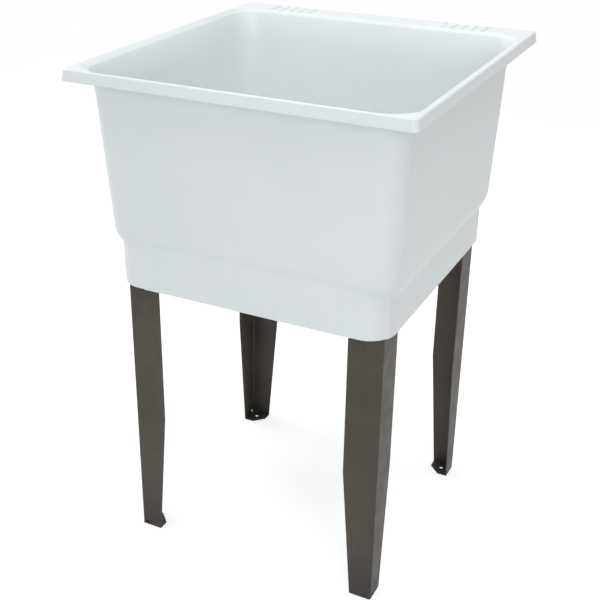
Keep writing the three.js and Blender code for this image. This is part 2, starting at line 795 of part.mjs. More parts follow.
/** The coupling nut: six flats outside, an inner lip that holds the tailpiece's flange up. */
function couplingNut() {
  const bottom = couplingLipTop - COUPLING_LIP;
  const across = rod((2 * COUPLING_ACROSS) / Math.sqrt(3), bottom, bottom + COUPLING_HEIGHT, 6);
  const bore = rod(threadClear, couplingLipTop, bottom + COUPLING_HEIGHT + CUT_MARGIN);
  const hole = rod(tailClear, bottom - CUT_MARGIN, couplingLipTop + CUT_MARGIN);
  const rounding = rod(COUPLING_TURNED, bottom - CUT_MARGIN, bottom + COUPLING_HEIGHT + CUT_MARGIN);
  return across.intersect(rounding).subtract(bore).subtract(hole);
}

/** The rubber stopper: a tapered plug with a rim and a mushroom grip. */
function stopper() {
  const rimUnder = flangeTop + SEAT_GAP;
  const rimTop = rimUnder + STOPPER_RIM_THICKNESS;
  const taper = (SEAT_MOUTH - BODY_BORE) / 2 / SEAT_DEPTH;
  const plugTop = SEAT_MOUTH / 2 - SEAT_GAP;
  const plugEnd = plugTop - taper * STOPPER_PLUG_DEPTH;
  const gripTop = rimTop + STOPPER_GRIP_HEIGHT;
  const brim = STOPPER_GRIP_HEIGHT / 3;
  return turned([
    [0, flangeTop - STOPPER_PLUG_DEPTH],
    [plugEnd, flangeTop - STOPPER_PLUG_DEPTH],
    [plugTop, flangeTop],
    [plugTop, rimUnder],
    [STOPPER_RIM / 2 - STOPPER_RIM_BEVEL, rimUnder],
    [STOPPER_RIM / 2, rimUnder + STOPPER_RIM_BEVEL],
    [STOPPER_RIM / 2 - STOPPER_RIM_BEVEL, rimTop],
    [STOPPER_NECK / 2 + STOPPER_GRIP_BEVEL, rimTop],
    [STOPPER_NECK / 2, rimTop + STOPPER_GRIP_BEVEL],
    [STOPPER_NECK / 2, gripTop - brim - STOPPER_GRIP_BEVEL],
    [STOPPER_GRIP / 2, gripTop - brim],
    [STOPPER_GRIP / 2, gripTop - brim / 2],
    [STOPPER_GRIP / 2 - STOPPER_GRIP_BEVEL, gripTop],
    [0, gripTop],
  ]);
}

/** The drain's pieces, which share the axis through the recess. */
function drain() {
  const group = new THREE.Group();
  group.position.set(0, bowlCentreY, 0);
  group.add(
    piece('drain_body', drainBody(), STEEL_SHEET),
    piece('drain_gasket', ring(GASKET_DIAMETER, threadClear, gasketUnder, gasketTop), RUBBER),
    piece('friction_washer', ring(WASHER_DIAMETER, threadClear, washerUnder, washerTop), WHITE_NYLON),
    piece('drain_locknut', locknut(), PLATED),
    piece('tailpiece_washer', ring(TAIL_FLANGE, tailClear, tailWasherUnder, tailWasherTop), WHITE_NYLON),
    piece('tailpiece', tailpiece(), STEEL_SHEET),
    piece('coupling_nut', couplingNut(), PLATED),
    piece('stopper', stopper(), RUBBER),
  );
  return group;
}

// ---------------------------------------------------------------- the sink

const sink = new THREE.Group();
sink.add(tub());
sink.add(...LEG_PLACES.map(leg));
sink.add(...LEG_PLACES.flatMap(legScrews));
sink.add(drain());

export default sink;
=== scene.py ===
"""Looks of a floor-standing laundry sink: a moulded tub on four pressed steel legs, with its drain.

Sizes are written in millimetres and turned into metres where a mesh is made.
"""

import math
from collections import namedtuple

import bmesh
import bpy
from mathutils import Matrix, Vector


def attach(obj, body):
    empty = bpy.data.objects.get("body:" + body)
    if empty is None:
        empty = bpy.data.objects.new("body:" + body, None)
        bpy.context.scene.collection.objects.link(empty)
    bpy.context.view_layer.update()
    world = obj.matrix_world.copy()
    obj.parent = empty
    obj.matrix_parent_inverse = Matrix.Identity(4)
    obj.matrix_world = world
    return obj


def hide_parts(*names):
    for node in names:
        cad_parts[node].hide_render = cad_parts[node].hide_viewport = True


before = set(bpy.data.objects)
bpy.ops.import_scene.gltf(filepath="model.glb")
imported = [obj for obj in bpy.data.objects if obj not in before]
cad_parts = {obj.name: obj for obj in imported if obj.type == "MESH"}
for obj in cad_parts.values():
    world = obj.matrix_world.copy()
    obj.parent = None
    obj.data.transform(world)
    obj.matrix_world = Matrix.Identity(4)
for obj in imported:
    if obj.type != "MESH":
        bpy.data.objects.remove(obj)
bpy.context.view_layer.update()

MM = 0.001

# ------------------------------------------------------------------ sizes of the sink

RIM_HALF = 286.0
RIM_FRONT = -301.0
RIM_BACK = 301.0
RIM_HEIGHT = 871.0
RIM_OVERHANG = 23.5
DECK_OVERHANG = 57.0
WALL = 4.5
SEAT_GAP = 0.3
APRON_DROP = 18.0
APRON_FLARE = 2.5
APRON_LOW_ROW = 6.0
RIM_EDGE_RADIUS = 3.0
FRONT_CORNER_RADIUS = 10.0
BACK_CORNER_RADIUS = 8.0
RIM_FALL = 5.5
RIM_INNER_HEIGHT = RIM_HEIGHT - RIM_FALL
RIM_SLOPE_WIDTH = 12.0
DECK_SLOPE_WIDTH = 4.5
LIP_HEIGHT = 35.0
INNER_LIP_HEIGHT = 50.0
SIDE_LIP_ROLL = 9.5
DECK_LIP_ROLL = 6.0

BOWL_HALF = RIM_HALF - RIM_OVERHANG
BOWL_FRONT = RIM_FRONT + RIM_OVERHANG
BOWL_BACK = RIM_BACK - DECK_OVERHANG
BOWL_CENTRE_Y = (BOWL_FRONT + BOWL_BACK) / 2.0
SIDE_DRAFT = math.tan(math.radians(2.3))
FRONT_DRAFT = math.tan(math.radians(4.0))
BACK_DRAFT = math.tan(math.radians(1.5))
FLOOR_TOP = 549.0
FLOOR_FALL = 4.0
BOWL_CORNER_RADIUS = 43.0
FLOOR_CORNER_RADIUS = 58.0
BOWL_FILLET = 65.0
FILLET_TOP = FLOOR_TOP - WALL + BOWL_FILLET
QUARTER_TURN = math.pi / 2.0
RECESS_RADIUS = 46.0
RECESS_DEPTH = 6.0
RECESS_TOP = FLOOR_TOP - FLOOR_FALL - RECESS_DEPTH
DRAIN_HOLE_RADIUS = 24.75

LEG_LENGTH = 552.0
LEG_SOCKET_DEPTH = 44.5
SKIRT_STEP = 22.0
SKIRT_WALL = 3.0
SKIRT_HALF = BOWL_HALF - SKIRT_STEP
SKIRT_FRONT = BOWL_FRONT + SKIRT_STEP
SKIRT_BACK = BOWL_BACK - SKIRT_STEP
SKIRT_FRONT_RADIUS = 45.0
SKIRT_BACK_RADIUS = 33.0
SKIRT_BOTTOM = LEG_LENGTH - LEG_SOCKET_DEPTH
PANEL_WIDTH = 57.0
PANEL_DEPTH = 1.4
PANEL_EDGE_X = SKIRT_HALF - PANEL_WIDTH
PANEL_EDGE_START = -0.5
PANEL_EDGE_END = 0.6
PANEL_END_TURN = 60.0
PANEL_END_SOFTNESS = 3.5

GROOVE_PITCH = 18.6
GROOVE_WIDTH = 11.5
GROOVE_FRONT = 250.6
GROOVE_BACK = 297.0
GROOVE_DEPTH = 2.2
GROOVE_CORNER = 2.0
GROOVE_SIDE_INSIDE = 0.9
GROOVE_SIDE_OUTSIDE = 0.55
REST_FROM_CENTRE = 166.7
REST_STEPS = (-2, -1, 0, 1, 2)
GROOVE_CENTRES = [side * REST_FROM_CENTRE + step * GROOVE_PITCH for side in (-1, 1) for step in REST_STEPS]

LEG_X = SKIRT_HALF - 10.5
LEG_FRONT_Y = SKIRT_FRONT + 24.0
LEG_BACK_Y = SKIRT_BACK - 12.0
LEG_THICKNESS = 2.0
LEG_BEND_RADIUS = 4.0
FLANGE_WIDTH = 59.0
FLANGE_FOOT_WIDTH = 39.0
KINK_HEIGHT = 245.0
FOOT_CHAMFER = 20.0
FOOT_HOLE_RADIUS = 3.75
FOOT_HOLE_INSET = 18.0
RELIEF_HOLE_RADIUS = 3.2
RELIEF_HOLE_INSET = 9.5
RELIEF_HOLE_HEIGHT = 5.5
SCREW_HEIGHT = LEG_LENGTH - 22.0
SCREW_FROM_CORNER = 32.0
SCREW_HOLE_RADIUS = 2.7
STOP_RIB_PLACES = (18.0, 48.0)
STOP_RIB_REACH = 12.0
STOP_RIB_HALF = 2.0
BOSS_RADIUS = 8.5

Leg = namedtuple("Leg", "name side_x side_y x y skirt_y turn")
LEGS = [
    Leg("rear_right", 1, 1, LEG_X, LEG_BACK_Y, SKIRT_BACK, 0),
    Leg("rear_left", -1, 1, -LEG_X, LEG_BACK_Y, SKIRT_BACK, 90),
    Leg("front_left", -1, -1, -LEG_X, LEG_FRONT_Y, SKIRT_FRONT, 180),
    Leg("front_right", 1, -1, LEG_X, LEG_FRONT_Y, SKIRT_FRONT, 270),
]

# ------------------------------------------------------------------ small tools


def smoothstep(low, high, value):
    """0 at low, 1 at high and smooth between them."""
    part = min(max((value - low) / (high - low), 0.0), 1.0)
    return part * part * (3.0 - 2.0 * part)


def blend(first, second, part):
    """A value part of the way from first to second."""
    return first + (second - first) * part


def add_piece(name, mesh, material, node, body="sink", sharp=180.0):
    """A piece in metres that stands for one node, with its edges over an angle kept sharp."""
    mesh.transform(Matrix.Scale(MM, 4))
    mesh.materials.append(material)
    mesh.shade_smooth()
    if sharp < 180.0:
        mesh.set_sharp_from_angle(angle=math.radians(sharp))
    piece = bpy.data.objects.new(name, mesh)
    bpy.context.scene.collection.objects.link(piece)
    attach(piece, body)
    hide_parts(node)


def mesh_from(points, faces, name="part"):
    """A mesh with its faces turned outward."""
    mesh = bpy.data.meshes.new(name)
    mesh.from_pydata([tuple(point) for point in points], [], faces)
    shape = bmesh.new()
    shape.from_mesh(mesh)
    bmesh.ops.recalc_face_normals(shape, faces=shape.faces)
    shape.to_mesh(mesh)
    shape.free()
    return mesh


def joined(meshes, name):
    """Several meshes as one."""
    shape = bmesh.new()
    for mesh in meshes:
        shape.from_mesh(mesh)
    mesh = bpy.data.meshes.new(name)
    shape.to_mesh(mesh)
    shape.free()
    return mesh


def with_modifiers(mesh, modifiers):
    """The mesh with modifiers applied, each given as (kind, settings)."""
    holder = bpy.data.objects.new("holder", mesh)
    bpy.context.scene.collection.objects.link(holder)
    for kind, settings in modifiers:
        modifier = holder.modifiers.new(kind, kind)
        for key, value in settings.items():
            setattr(modifier, key, value)
    graph = bpy.context.evaluated_depsgraph_get()
    made = bpy.data.meshes.new_from_object(holder.evaluated_get(graph))
    bpy.data.objects.remove(holder)
    return made


def combined(mesh, others, operation):
    """The mesh joined with, or cut by, other closed meshes."""
    for other in others:
        tool = bpy.data.objects.new("tool", other)
        bpy.context.scene.collection.objects.link(tool)
        tool.hide_render = True
        settings = {"operation": operation, "object": tool, "solver": "EXACT"}
        mesh = with_modifiers(mesh, [("BOOLEAN", settings)])
        bpy.data.objects.remove(tool)
    return mesh


def bevelled(mesh, width, segments=2, degrees=35.0):
    """The mesh with its sharp edges rounded off."""
    settings = {
        "width": width,
        "segments": segments,
        "limit_method": "ANGLE",
        "angle_limit": math.radians(degrees),
        "harden_normals": False,
        "use_clamp_overlap": True,
    }
    return with_modifiers(mesh, [("BEVEL", settings)])


def evenly_shaded(mesh, degrees):
    """The mesh shaded smooth, with flat faces kept flat and edges over an angle kept sharp."""
    mesh.shade_smooth()
    mesh.set_sharp_from_angle(angle=math.radians(degrees))
    return with_modifiers(mesh, [("WEIGHTED_NORMAL", {"keep_sharp": True})])


def block_mesh(low, high):
    """A box between two corners."""
    shape = bmesh.new()
    bmesh.ops.create_cube(shape, size=1.0)
    for vertex in shape.verts:
        for axis in range(3):
            vertex.co[axis] = blend(low[axis], high[axis], vertex.co[axis] + 0.5)
    mesh = bpy.data.meshes.new("block")
    shape.to_mesh(mesh)
    shape.free()
    return mesh


def turned_mesh(section, steps=96, closed=True):
    """A turned shape: its section as (radius, height) points, joined into a loop if closed."""
    rings = []
    for radius, height in section:
        ring = []
        for step in range(steps):
            angle = 2.0 * math.pi * step / steps
            ring.append(Vector((radius * math.cos(angle), radius * math.sin(angle), height)))
        rings.append(ring)
    return skinned(rings, closed)


def skinned(rings, closed):
    """A surface over rings of points; open ends are capped."""
    count = len(rings[0])
    points = [point for ring in rings for point in ring]
    faces = []
    spans = len(rings) if closed else len(rings) - 1
    for index in range(spans):
        low = index * count
        high = ((index + 1) % len(rings)) * count
        for step in range(count):
            following = (step + 1) % count
            faces.append((low + step, low + following, high + following, high + step))
    if not closed:
        faces.append(tuple(range(count)))
        faces.append(tuple(range(len(points) - count, len(points))))
    return mesh_from(points, faces)


# The most of a side that a rounded corner takes, and the least rounding worth making
CORNER_SHARE = 0.45
LEAST_ROUNDING = 0.02


def rounded_section(section, radius, closed=True, steps=3):
    """A section with each corner rounded; a third number in a point is its own radius."""
    rounded = []
    count = len(section)
    for index, point in enumerate(section):
        here = Vector(point[:2])
        before = Vector(section[index - 1][:2])
        after = Vector(section[(index + 1) % count][:2])
        own = point[2] if len(point) > 2 else radius
        shorter = min((before - here).length, (after - here).length)
        own = min(own, shorter * CORNER_SHARE)
        if own < LEAST_ROUNDING or (not closed and index in (0, count - 1)):
            rounded.append(tuple(here))
            continue
        start = here + (before - here).normalized() * own
        end = here + (after - here).normalized() * own
        rounded += [tuple(bezier(start, here, end, step / steps)) for step in range(steps + 1)]
    return rounded


def bezier(start, middle, end, part):
    """A point on the curve that turns a corner from start to end."""
    return blend(blend(start, middle, part), blend(middle, end, part), part)


def ring_mesh(outer, inner, low, high, edge=0.3, steps=96):
    """A plain ring with eased edges."""
    section = [(inner, low), (outer, low), (outer, high), (inner, high)]
    return turned_mesh(rounded_section(section, edge), steps)


def placed(place, degrees, axis):
    """A turn about an axis and then a move, as a matrix."""
    return Matrix.Translation(Vector(place)) @ Matrix.Rotation(math.radians(degrees), 4, axis)


# ------------------------------------------------------------------ materials


def add_node(tree, kind, values=None, **settings):
    """A node with its settings and the values of its inputs."""
    made = tree.nodes.new(kind)
    for key, value in settings.items():
        setattr(made, key, value)
    for key, value in (values or {}).items():
        made.inputs[key].default_value = value
    return made


def feed(tree, socket, value):
    """Gives a socket a number, a colour or another socket's value."""
    if hasattr(value, "is_linked"):
        tree.links.new(value, socket)
    else:
        socket.default_value = (*value, 1.0) if isinstance(value, tuple) else value


def new_group(name, inputs, outputs):
    """An empty node group with named sockets, and where its inputs arrive and its outputs leave."""
    group = bpy.data.node_groups.new(name, "ShaderNodeTree")
    for label, value in inputs.items():
        kind = "NodeSocketColor" if isinstance(value, tuple) else "NodeSocketFloat"
        feed(group, group.interface.new_socket(label, in_out="INPUT", socket_type=kind), value)
    for label in outputs:
        kind = "NodeSocketColor" if label == "Colour" else "NodeSocketFloat"
        group.interface.new_socket(label, in_out="OUTPUT", socket_type=kind)
    arriving = group.nodes.new("NodeGroupInput").outputs
    return group, arriving, group.nodes.new("NodeGroupOutput").inputs


def use_group(tree, group, **values):
    """The outputs of a placed node group; words in value names are joined by underscores."""
    made = add_node(tree, "ShaderNodeGroup", node_tree=group)
    for key, value in values.items():
        feed(tree, made.inputs[key.replace("_", " ")], value)
    return made.outputs


def object_place(tree):
    """Where a point lies, in metres from the floor under the sink."""
    return add_node(tree, "ShaderNodeTexCoord").outputs["Object"]


def parts_of(tree, vector):
    """A vector's X, Y and Z."""
    split = add_node(tree, "ShaderNodeSeparateXYZ")
    tree.links.new(vector, split.inputs["Vector"])
    return split.outputs


def noise(tree, place, scale, detail=2.0, roughness=0.5):
    """Three-dimensional noise over a place; scale is a number or a socket."""
    made = add_node(tree, "ShaderNodeTexNoise", {"Detail": detail, "Roughness": roughness})
    tree.links.new(place, made.inputs["Vector"])
    feed(tree, made.inputs["Scale"], scale)
    return made.outputs["Fac"]


def math_node(tree, operation, first, second, clamp=False):
    """Two values added, taken away or multiplied; each is a number or a socket."""
    made = add_node(tree, "ShaderNodeMath", operation=operation, use_clamp=clamp)
    feed(tree, made.inputs[0], first)
    feed(tree, made.inputs[1], second)
    return made.outputs["Value"]


def ranged(tree, value, given, wanted=(0.0, 1.0)):
    """A value moved from one range to another and kept inside it."""
    limits = {"From Min": given[0], "From Max": given[1], "To Min": wanted[0], "To Max": wanted[1]}
    made = add_node(tree, "ShaderNodeMapRange", limits, interpolation_type="SMOOTHSTEP")
    tree.links.new(value, made.inputs["Value"])
    return made.outputs["Result"]


def mixed(tree, factor, first, second):
    """Two colours mixed by a factor; each is a colour or a socket."""
    made = add_node(tree, "ShaderNodeMix", data_type="RGBA")
    tree.links.new(factor, made.inputs["Factor"])
    feed(tree, made.inputs[6], first)
    feed(tree, made.inputs[7], second)
    return made.outputs[2]


def layered(tree, colour, *layers):
    """A colour with others laid over it, each given as (mask, colour)."""
    for mask, over in layers:
        colour = mixed(tree, mask, colour, over)
    return colour


def make_surface_grain():
    """Fine relief: a close grain over a slower waviness, as a height in metres."""
    inputs = {"Grain Scale": 900.0, "Grain Height": 0.00001, "Wave Scale": 40.0, "Wave Height": 0.0}
    group, given, result = new_group("surface_grain", inputs, ["Height", "Mottle"])
    place = object_place(group)
    grain = noise(group, place, given["Grain Scale"], 3.0, 0.55)
    wave = noise(group, place, given["Wave Scale"], 1.0, 0.4)
    fine = math_node(group, "MULTIPLY", grain, given["Grain Height"])
    slow = math_node(group, "MULTIPLY", wave, given["Wave Height"])
    feed(group, result["Height"], math_node(group, "ADD", fine, slow))
    feed(group, result["Mottle"], wave)
    return group


def make_tone_drift():
    """A colour that wanders a little between a darker and a lighter tone."""
    inputs = {"Dark Tone": (0.5, 0.5, 0.5), "Light Tone": (0.6, 0.6, 0.6), "Drift Scale": 6.0}
    group, given, result = new_group("tone_drift", inputs, ["Colour", "Drift"])
    drift = noise(group, object_place(group), given["Drift Scale"], 4.0, 0.55)
    spread = ranged(group, drift, (0.3, 0.7))
    feed(group, result["Colour"], mixed(group, spread, given["Dark Tone"], given["Light Tone"]))
    feed(group, result["Drift"], spread)
    return group


def make_edge_wear():
    """Where handling has rubbed the edges: outward edges, broken up by noise."""
    inputs = {"Start": 0.53, "Break Scale": 120.0, "Amount": 0.5}
    group, given, result = new_group("edge_wear", inputs, ["Mask"])
    sharp = add_node(group, "ShaderNodeNewGeometry").outputs["Pointiness"]
    over = math_node(group, "SUBTRACT", sharp, given["Start"])
    edge = math_node(group, "MULTIPLY", over, 14.0, clamp=True)
    patches = noise(group, object_place(group), given["Break Scale"], 3.0, 0.6)
    broken = math_node(group, "MULTIPLY", edge, ranged(group, patches, (0.42, 0.6)))
    feed(group, result["Mask"], math_node(group, "MULTIPLY", broken, given["Amount"], clamp=True))
    return group


def make_settled_dust():
    """A thin film on faces that look up, thicker in patches."""
    group, given, result = new_group("settled_dust", {"Amount": 0.1, "Patch Scale": 25.0}, ["Mask"])
    normal = add_node(group, "ShaderNodeNewGeometry").outputs["Normal"]
    upward = ranged(group, parts_of(group, normal)["Z"], (0.2, 1.0))
    patches = noise(group, object_place(group), given["Patch Scale"], 4.0, 0.6)
    film = math_node(group, "MULTIPLY", upward, patches)
    feed(group, result["Mask"], math_node(group, "MULTIPLY", film, given["Amount"], clamp=True))
    return group


def make_turning_marks():
    """Rings left by a lathe or a polishing wheel about the drain's axis, as a height."""
    inputs = {"Ring Scale": 2500.0, "Ring Height": 0.00001}
    group, given, result = new_group("turning_marks", inputs, ["Height", "Streak"])
    place = parts_of(group, object_place(group))
    flat = add_node(group, "ShaderNodeCombineXYZ")
    feed(group, flat.inputs["X"], place["X"])
    feed(group, flat.inputs["Y"], math_node(group, "SUBTRACT", place["Y"], BOWL_CENTRE_Y * MM))
    radius = add_node(group, "ShaderNodeVectorMath", operation="LENGTH")
    feed(group, radius.inputs[0], flat.outputs["Vector"])
    rings = add_node(group, "ShaderNodeCombineXYZ")
    feed(group, rings.inputs["X"], radius.outputs["Value"])
    feed(group, rings.inputs["Z"], place["Z"])
    streak = noise(group, rings.outputs["Vector"], given["Ring Scale"], 2.0, 0.6)
    feed(group, result["Height"], math_node(group, "MULTIPLY", streak, given["Ring Height"]))
    feed(group, result["Streak"], streak)
    return group


surface_grain = make_surface_grain()
tone_drift = make_tone_drift()
edge_wear = make_edge_wear()
settled_dust = make_settled_dust()
turning_marks = make_turning_marks()


def new_material(name, **values):
    """A material with one Principled shader set to the given plain values."""
    material = bpy.data.materials.new(name)
    material.use_nodes = True
    tree = material.node_tree
    shader = tree.nodes["Principled BSDF"]
    for key, value in values.items():
        feed(tree, shader.inputs[key.replace("_", " ")], value)
    return material, tree, shader


def drifting(tree, dark, light, scale):
    """A finish's own colour, which drifts between two tones."""
    return use_group(tree, tone_drift, Dark_Tone=dark, Light_Tone=light, Drift_Scale=scale)


def relief(tree, grain, wave=(40.0, 0.0)):
    """A finish's fine relief; grain and wave are each given as (scale, height in metres)."""
    return use_group(
        tree,
        surface_grain,
        Grain_Scale=grain[0],
        Grain_Height=grain[1],
        Wave_Scale=wave[0],
        Wave_Height=wave[1],
    )


def link_surface(tree, shader, colour, rough, height):
    """Feeds a shader its colour, its roughness and its relief, a height in metres."""
    bump = add_node(tree, "ShaderNodeBump", {"Strength": 1.0, "Distance": 1.0})
    feed(tree, bump.inputs["Height"], height)
    feed(tree, shader.inputs["Base Color"], colour)
    feed(tree, shader.inputs["Roughness"], rough)
    feed(tree, shader.inputs["Normal"], bump.outputs["Normal"])


def moulded_plastic():
    """White tub moulding: satin skin, faint flow clouds and a trace of dust."""
    material, tree, shader = new_material("moulded_plastic", IOR=1.49)
    tone = drifting(tree, dark=(0.80, 0.842, 0.852), light=(0.83, 0.868, 0.876), scale=5.0)
    dust = use_group(tree, settled_dust, Amount=0.06, Patch_Scale=30.0)["Mask"]
    grain = relief(tree, grain=(420.0, 0.000004), wave=(22.0, 0.00016))
    colour = layered(tree, tone["Colour"], (dust, (0.62, 0.61, 0.57)))
    rough = math_node(tree, "ADD", ranged(tree, tone["Drift"], (0.0, 1.0), (0.31, 0.37)), dust)
    link_surface(tree, shader, colour, rough, grain["Height"])
    return material


def bronze_paint():
    """Dark bronze baked paint with a fine speckle and rubbed edges, darkened towards the feet by painted
    shade.
    """
    material, tree, shader = new_material("bronze_paint", IOR=1.45, Specular_Tint=(1.0, 0.88, 0.74))
    tone = drifting(tree, dark=(0.045, 0.0385, 0.032), light=(0.058, 0.05, 0.042), scale=9.0)
    grain = relief(tree, grain=(1800.0, 0.000025), wave=(35.0, 0.00009))
    worn = use_group(tree, edge_wear, Start=0.535, Break_Scale=160.0, Amount=0.4)["Mask"]
    dust = use_group(tree, settled_dust, Amount=0.25, Patch_Scale=40.0)["Mask"]
    place = object_place(tree)
    flakes = ranged(tree, noise(tree, place, 2600.0, 1.0), (0.6, 0.78), (0.0, 0.35))
    # Painted shade: the paint's colour is mixed towards near black over the lowest 13 cm of each leg,
    # strongest at the foot, standing in for the dimmer light near the floor.
    painted_foot_shade = ranged(tree, parts_of(tree, place)["Z"], (0.0, 0.13), (0.75, 0.0))
    colour = layered(
        tree,
        tone["Colour"],
        (flakes, (0.17, 0.145, 0.115)),
        (worn, (0.2, 0.19, 0.175)),
        (dust, (0.3, 0.28, 0.25)),
        (painted_foot_shade, (0.02, 0.019, 0.018)),
    )
    rough = ranged(tree, grain["Mottle"], (0.3, 0.7), (0.46, 0.56))
    link_surface(tree, shader, colour, rough, grain["Height"])
    return material


def zinc_plate():
    """Zinc-plated steel with a soft cloudy sheen."""
    material, tree, shader = new_material("zinc_plate", Metallic=1.0)
    tone = drifting(tree, dark=(0.42, 0.43, 0.43), light=(0.64, 0.65, 0.63), scale=140.0)
    grain = relief(tree, grain=(2200.0, 0.00004))
    worn = use_group(tree, edge_wear, Start=0.53, Break_Scale=300.0, Amount=0.5)["Mask"]
    colour = layered(tree, tone["Colour"], (worn, (0.75, 0.75, 0.74)))
    rough = ranged(tree, tone["Drift"], (0.0, 1.0), (0.3, 0.45))
    link_surface(tree, shader, colour, rough, grain["Height"])
    return material


def polished_steel():
    """Stainless steel sheet with rings from polishing and faint water marks."""
    material, tree, shader = new_material("polished_steel", Metallic=1.0)
    tone = drifting(tree, dark=(0.55, 0.55, 0.55), light=(0.68, 0.69, 0.70), scale=60.0)
    marks = use_group(tree, turning_marks, Ring_Scale=3500.0, Ring_Height=0.000012)
    rough = ranged(tree, marks["Streak"], (0.3, 0.7), (0.14, 0.26))
    link_surface(tree, shader, tone["Colour"], rough, marks["Height"])
    return material


def black_rubber():
    """Matt black rubber, greyed a little where it is handled."""
    material, tree, shader = new_material("black_rubber", IOR=1.52)
    tone = drifting(tree, dark=(0.018, 0.018, 0.019), light=(0.03, 0.03, 0.031), scale=70.0)
    worn = use_group(tree, edge_wear, Start=0.52, Break_Scale=200.0, Amount=0.5)["Mask"]
    dust = use_group(tree, settled_dust, Amount=0.2, Patch_Scale=90.0)["Mask"]
    grain = relief(tree, grain=(2400.0, 0.00005))
    colour = layered(tree, tone["Colour"], (worn, (0.07, 0.07, 0.07)), (dust, (0.16, 0.155, 0.15)))
    rough = ranged(tree, tone["Drift"], (0.0, 1.0), (0.6, 0.78))
    link_surface(tree, shader, colour, rough, grain["Height"])
    return material


def white_washer():
    """Plain white washer plastic, slightly yellowed in patches."""
    material, tree, shader = new_material("white_washer", IOR=1.5)
    tone = drifting(tree, dark=(0.66, 0.65, 0.59), light=(0.77, 0.77, 0.73), scale=90.0)
    grain = relief(tree, grain=(2000.0, 0.00003))
    rough = ranged(tree, tone["Drift"], (0.0, 1.0), (0.4, 0.52))
    link_surface(tree, shader, tone["Colour"], rough, grain["Height"])
    return material


# ------------------------------------------------------------------ the tub's surface

Level = namedtuple("Level", "z half front back front_radius back_radius")
Station = namedtuple("Station", "side place normal")

# How close the tub's rings and their points stand where its form turns
LIP_STEPS = 12
FILLET_STEPS = 20
EDGE_STEPS = 6
ROUND_STEPS = 4
RIB_STEPS = 6
TURN_HALVINGS = 26
MOST_OF_WAY = 0.48
FLOOR_PARTS = (0.12, 0.26, 0.42, 0.6, 0.8)
UNDER_FLOOR_PARTS = (0.2, 0.4, 0.6, 0.8)
INNER_WALL_ROWS = (630, 660, 690, 720, 750, 775, 795)
OUTER_WALL_ROWS = (820, 805, 780, 750, 720, 690, 660, 635)
DECK_ROWS = [258.0, 262.0, 267.0, 272.0, 277.0, 282.0, 287.0, 291.0]
GROOVE_FRONT_STEPS = (0.2, 0.7, 1.3, 2.2, 4.0)
GROOVE_BACK_STEPS = (2.6, 1.8, 1.2, 0.7, 0.3)
GROOVE_EDGE_STEPS = (0.9, 0.45, 0.1, -0.25, -0.6, -1.0, -1.5)
GROOVE_INSIDE_STEP = 2.2
BETWEEN_RESTS = (20, 40, 60, 80, 100)
CHANNEL_ROOF_PARTS = (0.92, 0.35)
SHOULDER_PARTS = (0.15, 0.3, 0.45, 0.6, 0.75)
SKIRT_PARTS = (0.12, 0.3, 0.5, 0.7, 0.88, 0.96)
UNDER_PARTS = (0.12, 0.25, 0.4, 0.55, 0.7, 0.85)
FRONT_PLACES = (20, 40, 60, 80, 100, 120, 140, 155, 168, 176)
PANEL_EDGE_STEPS = (-3.0, -1.6, -0.9, -0.5, -0.2, 0.1, 0.4, 0.7, 1.2, 2.2, 4.0, 6.5, 9.5)
FRONT_CORNER_TURNS = (0, 8, 16, 24, 32, 40, 47, 53, 56, 58, 59, 60, 61, 62, 64, 68, 74, 82, 90)
BACK_CORNER_TURNS = [step * 5.0 for step in range(19)]
SIDE_PLACES = [step / 16.0 for step in range(1, 16)]


def drawn_in(level, inset, radius_loss=None):
    """The same level drawn in on every side."""
    loss = inset if radius_loss is None else radius_loss
    return Level(
        level.z,
        level.half - inset,
        level.front + inset,
        level.back - inset,
        max(level.front_radius - loss, 1.0),
        max(level.back_radius - loss, 1.0),
    )


def bowl_wall(z, depth_in):
    """The bowl's wall at a height; depth_in is 0 on its outside and WALL on its inside."""
    below = RIM_HEIGHT - z
    level = Level(
        z,
        BOWL_HALF - below * SIDE_DRAFT,
        BOWL_FRONT + below * FRONT_DRAFT,
        BOWL_BACK - below * BACK_DRAFT,
        BOWL_CORNER_RADIUS,
        BOWL_CORNER_RADIUS,
    )
    return drawn_in(level, depth_in)


def lip_height(depth_in):
    """How far under the rim's inner edge the roll starts: lower on the bowl's inside."""
    return blend(LIP_HEIGHT, INNER_LIP_HEIGHT, depth_in / WALL)


def rolled_out(z, full_roll, depth_in):
    """How far the wall has rolled outward at a height, on its way to full_roll at the rim."""
    height = lip_height(depth_in)
    rolled = (full_roll**2 + height**2) / (2.0 * full_roll) - WALL + depth_in
    rise = max(z - (RIM_INNER_HEIGHT - height), 0.0)
    return rolled - math.sqrt(rolled * rolled - rise * rise)


def rolled_wall(z, depth_in):
    """The bowl's wall where it rolls out to the rim."""
    wall = bowl_wall(z, depth_in)
    side = rolled_out(z, SIDE_LIP_ROLL, depth_in)
    deck = rolled_out(z, DECK_LIP_ROLL, depth_in)
    return Level(
        z,
        wall.half + side,
        wall.front - side,
        wall.back + deck,
        wall.front_radius + side,
        wall.back_radius + (side + deck) / 2.0,
    )


def lip_levels(depth_in):
    """The lip from where its roll starts to a little under the rim's inner edge."""
    height = lip_height(depth_in)
    start = RIM_INNER_HEIGHT - height
    return [rolled_wall(start + height * step / LIP_STEPS, depth_in) for step in range(LIP_STEPS - 1)]


def rim_slope(thickness):
    """The rim's sloping top: its inner edge and its flat's edge, both lowered by a thickness."""
    inner = rolled_wall(RIM_INNER_HEIGHT, WALL)
    flat = drawn_in(inner, -RIM_SLOPE_WIDTH)
    flat = flat._replace(z=RIM_HEIGHT - thickness, back=inner.back + DECK_SLOPE_WIDTH)
    return inner._replace(z=RIM_INNER_HEIGHT - thickness), flat


